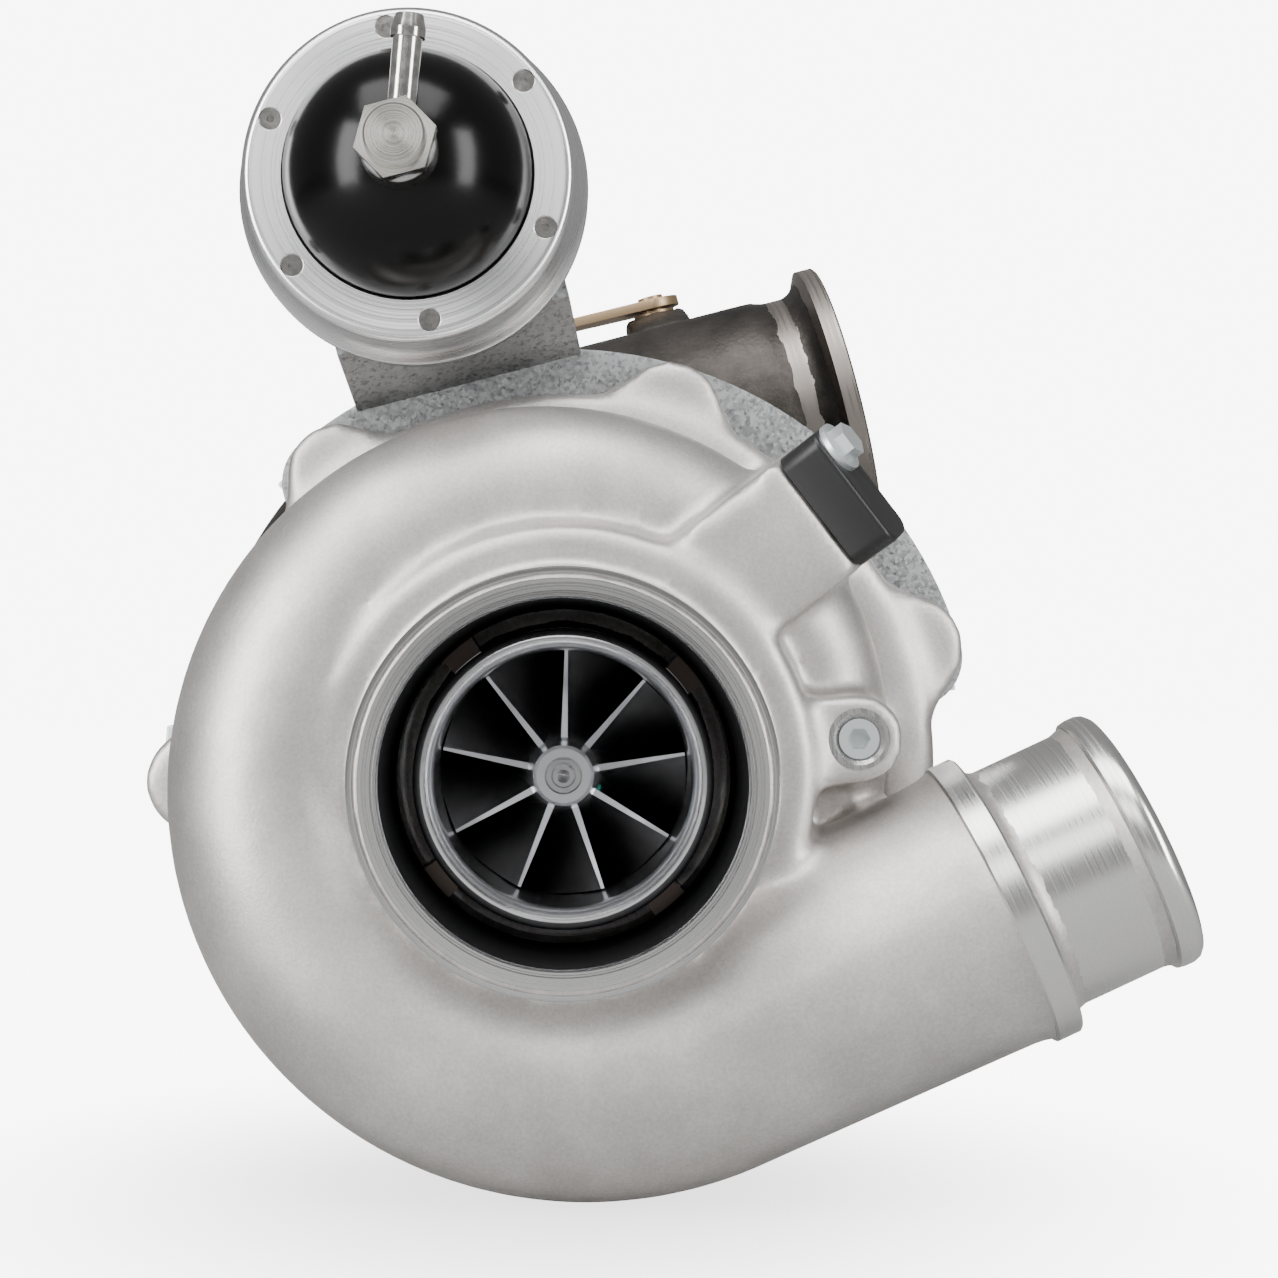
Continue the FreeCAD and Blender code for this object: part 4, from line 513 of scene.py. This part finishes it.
# Iron keeps the coarser grain of the mould, and heat darkens it to a brown that hardly shines.
CAST_IRON = CastFinish("sand_cast_iron", "#75706b", 0.52, 0.9, dark="#524d49", grit_mm=1.3,
                       grit_height_mm=0.25)
DARK_IRON = CastFinish("heat_darkened_cast_iron", "#57534f", 0.5, 0.9, dark="#393633", grit_mm=1.4,
                       grit_height_mm=0.25)
# Lathe marks run in rings, so the light fans out from the axis in bright and grey sectors.
NECK_TURNED = TurnedFinish("turned_aluminium_inlet_neck", "#c2c1c0", 0.26, line=SHAFT)
# The bell ring's outer radii carry the port's painted shade.
BELL_TURNED = ZonedFinish("polished_aluminium_bell_ring", "#e6e6e8", 0.2)
PLATE_TURNED = TurnedFinish("turned_aluminium_backplate", "#c9c8c6", 0.3, line=SHAFT)
OUTLET_TURNED = TurnedFinish("turned_aluminium_outlet_neck", "#dedddb", 0.22, line=DISCHARGE)
CAN_TURNED = TurnedFinish("turned_aluminium_actuator_body", "#ededee", 0.3, line=CAN, anisotropy=0.85,
                          groove_mm=0.003)
DUCT_TURNED = TurnedFinish("turned_iron_duct_flange", "#8d8781", 0.32, line=DUCT, pitch_mm=0.8)
OUTLET_IRON = TurnedFinish("turned_iron_outlet_flange", "#7d7771", 0.34, line=SHAFT, pitch_mm=0.8)
# Painted shade: a near-black liner lines the deep port, so it reads as a black ring.
PORT_SHADE = PaintFinish("port_painted_shade", "#060607", 0.5, gloss=0.2)
# Bright blade edges stand out against channels whose painted shade darkens with their depth.
WHEEL_MILLED = WheelFinish("milled_aluminium_wheel", "#cfd1d4", 0.3)
NUT_STEEL = TurnedFinish("turned_steel_nut", "#c9c9ca", 0.2, line=SHAFT, pitch_mm=0.4)
# Small zinc crystals give a grey that sparkles from spot to spot.
GALVANISED = SpangledFinish("galvanised_steel_plate", "#a6a7a8", 0.44)
# Plated, ground and polished steel: even and bright, with a slight cloudiness.
ZINC = PlatedFinish("zinc_plated_steel", "#cfd8df", 0.24)
GROUND_STEEL = PlatedFinish("ground_bearing_steel", "#c6c8ca", 0.14, dark="#b4b6b9")
STAINLESS = PlatedFinish("polished_stainless_steel", "#d8d6d2", 0.15, dark="#bab8b4")
BANJO_TURNED = TurnedFinish("turned_stainless_banjo_bolt", "#cfccc6", 0.24, line=CAN, anisotropy=0.8)
# Hot parts take straw to brown oxide colours, or a dull grey on the nickel alloy.
HEAT_TINT = CastFinish("heat_tinted_steel", "#a98a5c", 0.34, 1.0, dark="#6a5240", grit_mm=1.5,
                       grit_height_mm=0.03, patch_mm=9.0)
SUPERALLOY = PlatedFinish("cast_nickel_alloy", "#6f6a66", 0.38, dark="#59544f")
# Enamel mirrors the soft boxes as two tall streaks; moulded plastic and rubber stay matt.
DOME_ENAMEL = PaintFinish("gloss_black_enamel", "#030303", 0.2, gloss=0.22)
SENSOR_PLASTIC = PaintFinish("moulded_black_plastic", "#131314", 0.42, wave_mm=0.8,
                             wave_height_mm=0.02)
RUBBER = PaintFinish("black_nitrile_rubber", "#0f0f0f", 0.7, wave_mm=1.0, wave_height_mm=0.02)
BRONZE = PlatedFinish("bearing_bronze", "#b08a52", 0.3, dark="#96713f")
SPRING_STEEL = PlatedFinish("oiled_spring_steel", "#5c5d60", 0.3, dark="#46474a")
PAINT_DAB = PaintFinish("green_marker_paint", "#1f9a86", 0.35)

NODE_FINISHES: dict[str, Finish] = {
    "ported_shroud_insert": BELL_TURNED,
    "compressor_backplate": PLATE_TURNED,
    "cover_o_ring": RUBBER,
    "cover_clamp_plates": ZINC,
    "cover_bolts": ZINC,
    "speed_sensor_plug_bolt": ZINC,
    "boost_port_plug": ZINC,
    "compressor_wheel": WHEEL_MILLED,
    "compressor_nut": NUT_STEEL,
    "rotor_shaft": NUT_STEEL,
    "thrust_collar": GROUND_STEEL,
    "bearing_inner_races": GROUND_STEEL,
    "bearing_outer_sleeve": GROUND_STEEL,
    "front_balls": GROUND_STEEL,
    "front_cage": BRONZE,
    "rear_balls": GROUND_STEEL,
    "rear_cage": BRONZE,
    "turbine_seal_ring": SPRING_STEEL,
    "backplate_screws": ZINC,
    "heat_shield": STAINLESS,
    "v_band_clamp": STAINLESS,
    "v_band_bolt": ZINC,
    "turbine_wheel": SUPERALLOY,
    "wastegate_bush": HEAT_TINT,
    "crank_shaft": HEAT_TINT,
    "crank_lever": HEAT_TINT,
    "lever_pin": HEAT_TINT,
    "pin_clip": SPRING_STEEL,
    "flap_arm": SUPERALLOY,
    "flap_valve": SUPERALLOY,
    "flap_washer": SUPERALLOY,
    "actuator_ring": CAN_TURNED,
    "actuator_body": CAN_TURNED,
    "actuator_dome": DOME_ENAMEL,
    "actuator_diaphragm": RUBBER,
    "actuator_piston": ZINC,
    "actuator_spring": SPRING_STEEL,
    "actuator_guide_bush": BRONZE,
    "actuator_lock_nut": ZINC,
    "ring_screws": STAINLESS,
    "actuator_rod": ZINC,
    "rod_end": ZINC,
    "rod_jam_nut": ZINC,
    "banjo_fitting": STAINLESS,
    "banjo_washers": ZINC,
    "banjo_bolt": BANJO_TURNED,
}


# ---- mesh helpers --------------------------------------------------------------------------
def deselect() -> None:
    """Leave edit mode and select nothing."""
    if bpy.context.object and bpy.context.object.mode != "OBJECT":
        bpy.ops.object.mode_set(mode="OBJECT")
    bpy.ops.object.select_all(action="DESELECT")


def take(piece: bpy.types.Object) -> None:
    """Select one piece and make it the active one."""
    deselect()
    piece.select_set(True)
    bpy.context.view_layer.objects.active = piece


def apply_modifier(piece: bpy.types.Object, kind: str, settings: dict[str, Any]) -> None:
    """Add a modifier with its settings and apply it.

    Args:
        piece: The piece to change.
        kind: Blender's name of the modifier type.
        settings: Properties to set on the modifier.
    """
    take(piece)
    modifier = piece.modifiers.new(kind.lower(), kind)
    for name, value in settings.items():
        setattr(modifier, name, value)
    bpy.ops.object.modifier_apply(modifier=modifier.name)


def dress(piece: bpy.types.Object, finish: Finish) -> None:
    """Give a piece one finish in all its slots."""
    material = finish.material()
    if not piece.material_slots:
        piece.data.materials.append(material)
    for slot in piece.material_slots:
        slot.material = material


def lathe(
    name: str, outline: Sequence[tuple[float, float]], line: Line, steps: int = 144
) -> bpy.types.Object:
    """Turn a closed outline about an axis.

    Args:
        name: Name of the piece.
        outline: Corners of the section as (radius, distance along the axis), mm.
        line: The axis.
        steps: Facets around.

    Returns:
        The piece, with its place in its mesh.
    """
    deselect()
    spot = line.at(*outline[0])
    bpy.ops.mesh.primitive_plane_add(size=MM, location=spot)
    piece = bpy.context.object
    piece.name = name
    bpy.ops.object.mode_set(mode="EDIT")
    bpy.ops.mesh.select_all(action="SELECT")
    bpy.ops.mesh.merge(type="CENTER")
    for radius, along in [*outline[1:], outline[0]]:
        target = line.at(radius, along)
        bpy.ops.mesh.extrude_vertices_move(TRANSFORM_OT_translate={"value": target - spot})
        spot = target
    bpy.ops.mesh.select_all(action="SELECT")
    bpy.ops.mesh.spin(
        steps=steps, angle=2 * math.pi, center=Vector(line.origin) * MM, axis=line.direction
    )
    bpy.ops.mesh.select_all(action="SELECT")
    bpy.ops.mesh.remove_doubles(threshold=WELD)
    bpy.ops.mesh.normals_make_consistent(inside=False)
    bpy.ops.object.mode_set(mode="OBJECT")
    bpy.ops.object.transform_apply(location=True, rotation=True, scale=True)
    bpy.ops.object.shade_smooth_by_angle(angle=TURNED_SMOOTH)
    return piece


def merged_copy(node: str, name: str) -> bpy.types.Object:
    """Copy a CAD node as a closed mesh of its own.

    Args:
        node: The CAD node.
        name: Name of the copy.

    Returns:
        The copy, in the node's place.
    """
    source = bpy.data.objects[node]
    piece = bpy.data.objects.new(name, source.data.copy())
    bpy.context.scene.collection.objects.link(piece)
    take(piece)
    bpy.ops.object.mode_set(mode="EDIT")
    bpy.ops.mesh.select_all(action="SELECT")
    bpy.ops.mesh.remove_doubles(threshold=WELD)
    bpy.ops.mesh.customdata_custom_splitnormals_clear()
    bpy.ops.object.mode_set(mode="OBJECT")
    return piece


@dataclass
class Casting:
    """A cast piece: its copy is evened out and its edges melt together as in the mould."""

    node: str
    name: str
    finish: Finish
    slot: str
    grid_mm: float = 1.85  # width of the cells it is rebuilt from
    passes: int = 14
    pull: float = 0.5  # share of the way to its neighbours that a point moves in a pass

    def build(self) -> bpy.types.Object:
        """Build and dress the softened copy of the casting."""
        piece = merged_copy(self.node, self.name)
        apply_modifier(piece, "REMESH", {"mode": "VOXEL", "voxel_size": self.grid_mm * MM})
        apply_modifier(piece, "SMOOTH", {"factor": self.pull, "iterations": self.passes})
        take(piece)
        bpy.ops.object.shade_smooth()
        piece.data.materials.clear()
        dress(piece, self.finish)
        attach(piece, Body.HOUSING.value)
        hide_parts(self.node)
        LOG.info("%s: %d faces", self.name, len(piece.data.polygons))
        return piece


@dataclass(frozen=True)
class Edge:
    """How far the edges of one piece are broken, and what the piece is dressed in."""

    node: str
    width_mm: float
    finish: Finish
    slot: str
    body: Body = Body.HOUSING


@dataclass
class EdgedPieces:
    """Machined, pressed and moulded pieces whose edges are broken by hand or by the mould."""

    edges: tuple[Edge, ...] = (
        Edge("speed_sensor_plug", 0.7, SENSOR_PLASTIC, "black_plastic"),
        Edge("cover_clamp_plates", 0.5, ZINC, "zinc_plated_steel"),
        Edge("actuator_bracket", 0.7, GALVANISED, "galvanised_steel"),
        Edge("actuator_lock_nut", 0.5, ZINC, "zinc_plated_steel"),
        Edge("crank_lever", 0.4, HEAT_TINT, "heat_tinted_steel", Body.CRANK),
        Edge("rod_end", 0.3, ZINC, "zinc_plated_steel", Body.ROD),
    )
    segments: int = 3
    sharp_deg: float = 38.0  # edges blunter than this stay as they are
    smooth_deg: float = 50.0

    def build(self) -> None:
        """Build a copy of each with its edges rounded."""
        for edge in self.edges:
            piece = merged_copy(edge.node, edge.node + "_edged")
            apply_modifier(piece, "BEVEL", {
                "width": edge.width_mm * MM,
                "segments": self.segments,
                "limit_method": "ANGLE",
                "angle_limit": math.radians(self.sharp_deg),
            })
            take(piece)
            bpy.ops.object.shade_smooth_by_angle(angle=math.radians(self.smooth_deg))
            piece.data.materials.clear()
            dress(piece, edge.finish)
            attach(piece, edge.body.value)
            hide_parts(edge.node)
            LOG.info("%s: edges %.1f mm", edge.node, edge.width_mm)


@dataclass
class MachinedBands:
    """Turned surfaces of the castings, a hair proud of them."""

    proud: float = 0.15  # mm

    def neck(self) -> tuple[str, list[tuple[float, float]], Line, Finish, str]:
        """Inlet neck with its face groove."""
        out = 50.8 + self.proud
        face = -self.proud
        return "inlet_neck_band", [
            (43.45, 0.6), (44.0, face), (44.5, face), (44.75, 0.35), (45.1, 0.35), (45.35, face),
            (48.2, face), (48.5, 0.6), (49.2, 0.6), (49.5, face), (out - 0.5, face), (out, 0.4),
            (out, 29.3), (42.25, 29.3),
        ], SHAFT, NECK_TURNED, "turned_aluminium"

    def port(self) -> tuple[str, list[tuple[float, float]], Line, Finish, str]:
        """Near-black liner on the wall and floor of the annular port: painted shade."""
        return "port_wall", [
            (43.30, 1.4), (42.10, 29.5), (42.10, 54.7), (36.4, 54.7), (36.4, 54.95), (42.3, 54.95),
            (42.3, 29.5), (43.55, 1.4),
        ], SHAFT, PORT_SHADE, "turned_aluminium"

    def outlet(self) -> tuple[str, list[tuple[float, float]], Line, Finish, str]:
        """Collar, hose neck and bead of the discharge."""
        p = self.proud
        return "outlet_neck_band", [
            (34.0, 82.95), (36.8 + p, 82.95), (37.35 + p, 83.5), (37.35 + p, 89.5), (36.8 + p, 90.1),
            (31.75 + p, 90.1), (31.75 + p, 117.3), (32.4 + p, 117.7), (33.5 + p, 118.6),
            (33.8 + p, 120.3), (33.8 + p, 122.6), (33.3 + p, 124.2), (32.3, 125.3), (31.3, 125.65),
            (29.4, 125.65), (28.7, 125.0), (28.7, 82.95),
        ], DISCHARGE, OUTLET_TURNED, "turned_aluminium"

    def lug_face(self) -> tuple[str, list[tuple[float, float]], Line, Finish, str]:
        """Spot face and countersink around the plug of the boost port."""
        return "boost_port_spot_face", [
            (5.1, 36.2), (6.5, 34.8), (7.6, 34.8), (7.6, 36.2),
        ], LUG, NECK_TURNED, "turned_aluminium"

    def duct_flange(self) -> tuple[str, list[tuple[float, float]], Line, Finish, str]:
        """V flange and machined land of the turbine inlet."""
        p = self.proud
        return "duct_flange_band", [
            (29.85, 100.0), (29.85, 107.9), (30.3, 108.0 + p), (40.8, 108.0 + p), (41.3 + p, 107.6),
            (41.3 + p, 103.0), (34.5 + p, 100.0), (34.5 + p, 90.0), (33.0, 90.0), (33.0, 100.0),
        ], DUCT, DUCT_TURNED, "cast_iron_hot"

    def outlet_flange(self) -> tuple[str, list[tuple[float, float]], Line, Finish, str]:
        """V flange of the turbine outlet."""
        p = self.proud
        return "turbine_outlet_band", [
            (36.35, 250.0), (36.35, 261.9), (36.8, 262.0 + p), (44.5, 262.0 + p), (45.0 + p, 261.6),
            (45.0 + p, 257.5), (40.5 + p, 254.0), (40.5 + p, 248.0), (39.5, 248.0),
        ], SHAFT, OUTLET_IRON, "cast_iron_hot"

    def build(self) -> None:
        """Turn every band and dress it."""
        bands = (
            self.neck, self.port, self.outlet, self.lug_face, self.duct_flange, self.outlet_flange,
        )
        for make in bands:
            name, outline, line, finish, slot = make()
            piece = lathe(name, outline, line)
            dress(piece, finish)
            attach(piece, Body.HOUSING.value)
            LOG.info("%s turned", name)


@dataclass
class BalanceMark:
    """Dab of marker paint that the balancer leaves on the wheel's hub."""

    place_mm: tuple[float, float, float] = (8.7, 50.0, -4.3)
    size_mm: tuple[float, float, float] = (0.7, 2.2, 1.2)
    turn_deg: float = 26.3

    def build(self) -> None:
        """Press the dab flat on the hub and let it turn with the wheel."""
        deselect()
        bpy.ops.mesh.primitive_uv_sphere_add(segments=24, ring_count=12, radius=MM)
        piece = bpy.context.object
        piece.name = "balance_mark"
        piece.scale = self.size_mm
        piece.rotation_euler = (0.0, math.radians(self.turn_deg), 0.0)
        piece.location = Vector(self.place_mm) * MM
        bpy.ops.object.transform_apply(location=True, rotation=True, scale=True)
        bpy.ops.object.shade_smooth()
        dress(piece, PAINT_DAB)
        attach(piece, Body.ROTOR.value)
        LOG.info("balance_mark pressed on")


@dataclass(frozen=True)
class Lamp:
    """A soft box: its place and its width and height in metres, and its power in watts."""

    name: str
    place: tuple[float, float, float]
    size: tuple[float, float]
    power: float


@dataclass
class Studio:
    """Floor, lights and camera."""

    camera_mm: tuple[float, float, float] = (1.2, -600.0, 38.1)
    lens: float = 72.5
    shift: tuple[float, float] = (0.0553, -0.0142)
    floor_mm: float = -108.3
    painted_shadow_glow: float = 2.4
    far_glow: float = 8.0
    sky_cast: float = 0.31
    glow_from_m: float = 0.03  # the painted shadow on the paper fades out from this distance to the next one
    glow_to_m: float = 0.22
    painted_shadow_middle_m: tuple[float, float] = (0.0, 0.06)
    floor_size_m: tuple[float, float] = (14.0, 8.0)
    floor_middle_y: float = -1.0
    lit_point: tuple[float, float, float] = (0.0, 0.05, 0.04)
    sensor_mm: float = 36.0
    lamps: tuple[Lamp, ...] = (
        Lamp("left_soft_box", (-0.95, -0.75, 0.30), (0.40, 1.2), 22.0),
        Lamp("right_soft_box", (0.95, -0.70, 0.25), (0.32, 1.1), 15.0),
        Lamp("top_soft_box", (-0.1, -0.50, 1.2), (1.3, 0.7), 20.0),
        Lamp("front_soft_box", (-0.3, -1.9, 1.1), (1.2, 0.6), 9.0),
    )

    def backdrop(self) -> None:
        """Pale paper floor, overexposed but for a soft painted shadow under the object, where its
        glow is dimmed.
        """
        deselect()
        middle = (0.0, self.floor_middle_y, self.floor_mm * MM)
        bpy.ops.mesh.primitive_plane_add(size=1.0, location=middle)
        floor = bpy.context.object
        floor.name = "floor"
        floor.scale = (*self.floor_size_m, 1.0)
        bpy.ops.object.transform_apply(location=True, rotation=True, scale=True)
        material = bpy.data.materials.new("matt_white_paper")
        material.use_nodes = True
        tree = material.node_tree
        shader = tree.nodes["Principled BSDF"]
        shader.inputs["Base Color"].default_value = linear("#a8a8a8")
        shader.inputs["Roughness"].default_value = 0.9
        shader.inputs["Emission Color"].default_value = linear("#ffffff")
        place = add_node(tree, "ShaderNodeTexCoord").outputs["Object"]
        offset = add_node(
            tree, "ShaderNodeVectorMath", {"operation": "DISTANCE"},
            {0: place, 1: (*self.painted_shadow_middle_m, self.floor_mm * MM)},
        )
        # Painted shadow: the glow is dimmed near the object and brightens further out.
        glow = add_node(
            tree, "ShaderNodeMapRange", {"interpolation_type": "SMOOTHSTEP"},
            {
                "Value": offset.outputs["Value"],
                "From Min": self.glow_from_m,
                "From Max": self.glow_to_m,
                "To Min": self.painted_shadow_glow, "To Max": self.far_glow,
            },
        )
        self.shine(tree, shader.inputs["Emission Strength"], glow.outputs["Result"], 0.0)
        floor.data.materials.append(material)

    def shine(
        self,
        tree: bpy.types.NodeTree,
        socket: bpy.types.NodeSocket,
        seen: float | bpy.types.NodeSocket,
        cast: float,
    ) -> None:
        """Overexpose a surface of the set without more light on the object.

        Args:
            tree: Node tree of the floor or the world.
            socket: The strength to set.
            seen: Strength where the set is in view.
            cast: Strength of the light it casts.
        """
        path = add_node(tree, "ShaderNodeLightPath")
        strength = add_node(
            tree, "ShaderNodeMapRange", {},
            {"Value": path.outputs["Is Camera Ray"], "To Min": cast, "To Max": seen},
        )
        tree.links.new(strength.outputs["Result"], socket)

    def hang(self, lamp: Lamp) -> None:
        """Hang a soft box so that it faces the object."""
        data = bpy.data.lights.new(lamp.name, "AREA")
        data.shape = "RECTANGLE"
        data.size, data.size_y = lamp.size
        data.energy = lamp.power
        box = bpy.data.objects.new(lamp.name, data)
        bpy.context.scene.collection.objects.link(box)
        box.location = lamp.place
        aim = Vector(self.lit_point) - Vector(lamp.place)
        box.rotation_euler = aim.to_track_quat("-Z", "Y").to_euler()

    def build(self) -> None:
        """Set up the floor, the lights and the camera."""
        self.backdrop()
        world = bpy.data.worlds.new("studio")
        bpy.context.scene.world = world
        world.use_nodes = True
        ground = world.node_tree.nodes["Background"]
        ground.inputs["Color"].default_value = linear("#ffffff")
        self.shine(world.node_tree, ground.inputs["Strength"], self.far_glow, self.sky_cast)
        for lamp in self.lamps:
            self.hang(lamp)
        data = bpy.data.cameras.new("front_camera")
        data.lens = self.lens
        data.sensor_width = self.sensor_mm
        data.shift_x, data.shift_y = self.shift
        camera = bpy.data.objects.new("front_camera", data)
        bpy.context.scene.collection.objects.link(camera)
        camera.location = Vector(self.camera_mm) * MM
        camera.rotation_euler = (math.radians(90), 0.0, 0.0)
        bpy.context.scene.camera = camera


def main() -> None:
    """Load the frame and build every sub-assembly."""
    logging.basicConfig(level=logging.INFO, format="%(name)s %(message)s")
    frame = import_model()
    deselect()
    for node, finish in NODE_FINISHES.items():
        dress(frame["nodes"][node], finish)
    Casting("compressor_cover", "cast_cover", CAST_ALUMINIUM, "cast_aluminium").build()
    Casting("turbine_housing", "cast_turbine_housing", DARK_IRON, "cast_iron_hot", 2.0, 12).build()
    Casting("bearing_housing", "cast_bearing_housing", CAST_IRON, "cast_iron_grey", 1.2, 6).build()
    MachinedBands().build()
    EdgedPieces().build()
    BalanceMark().build()
    Studio().build()


if __name__ == "__main__":
    main()
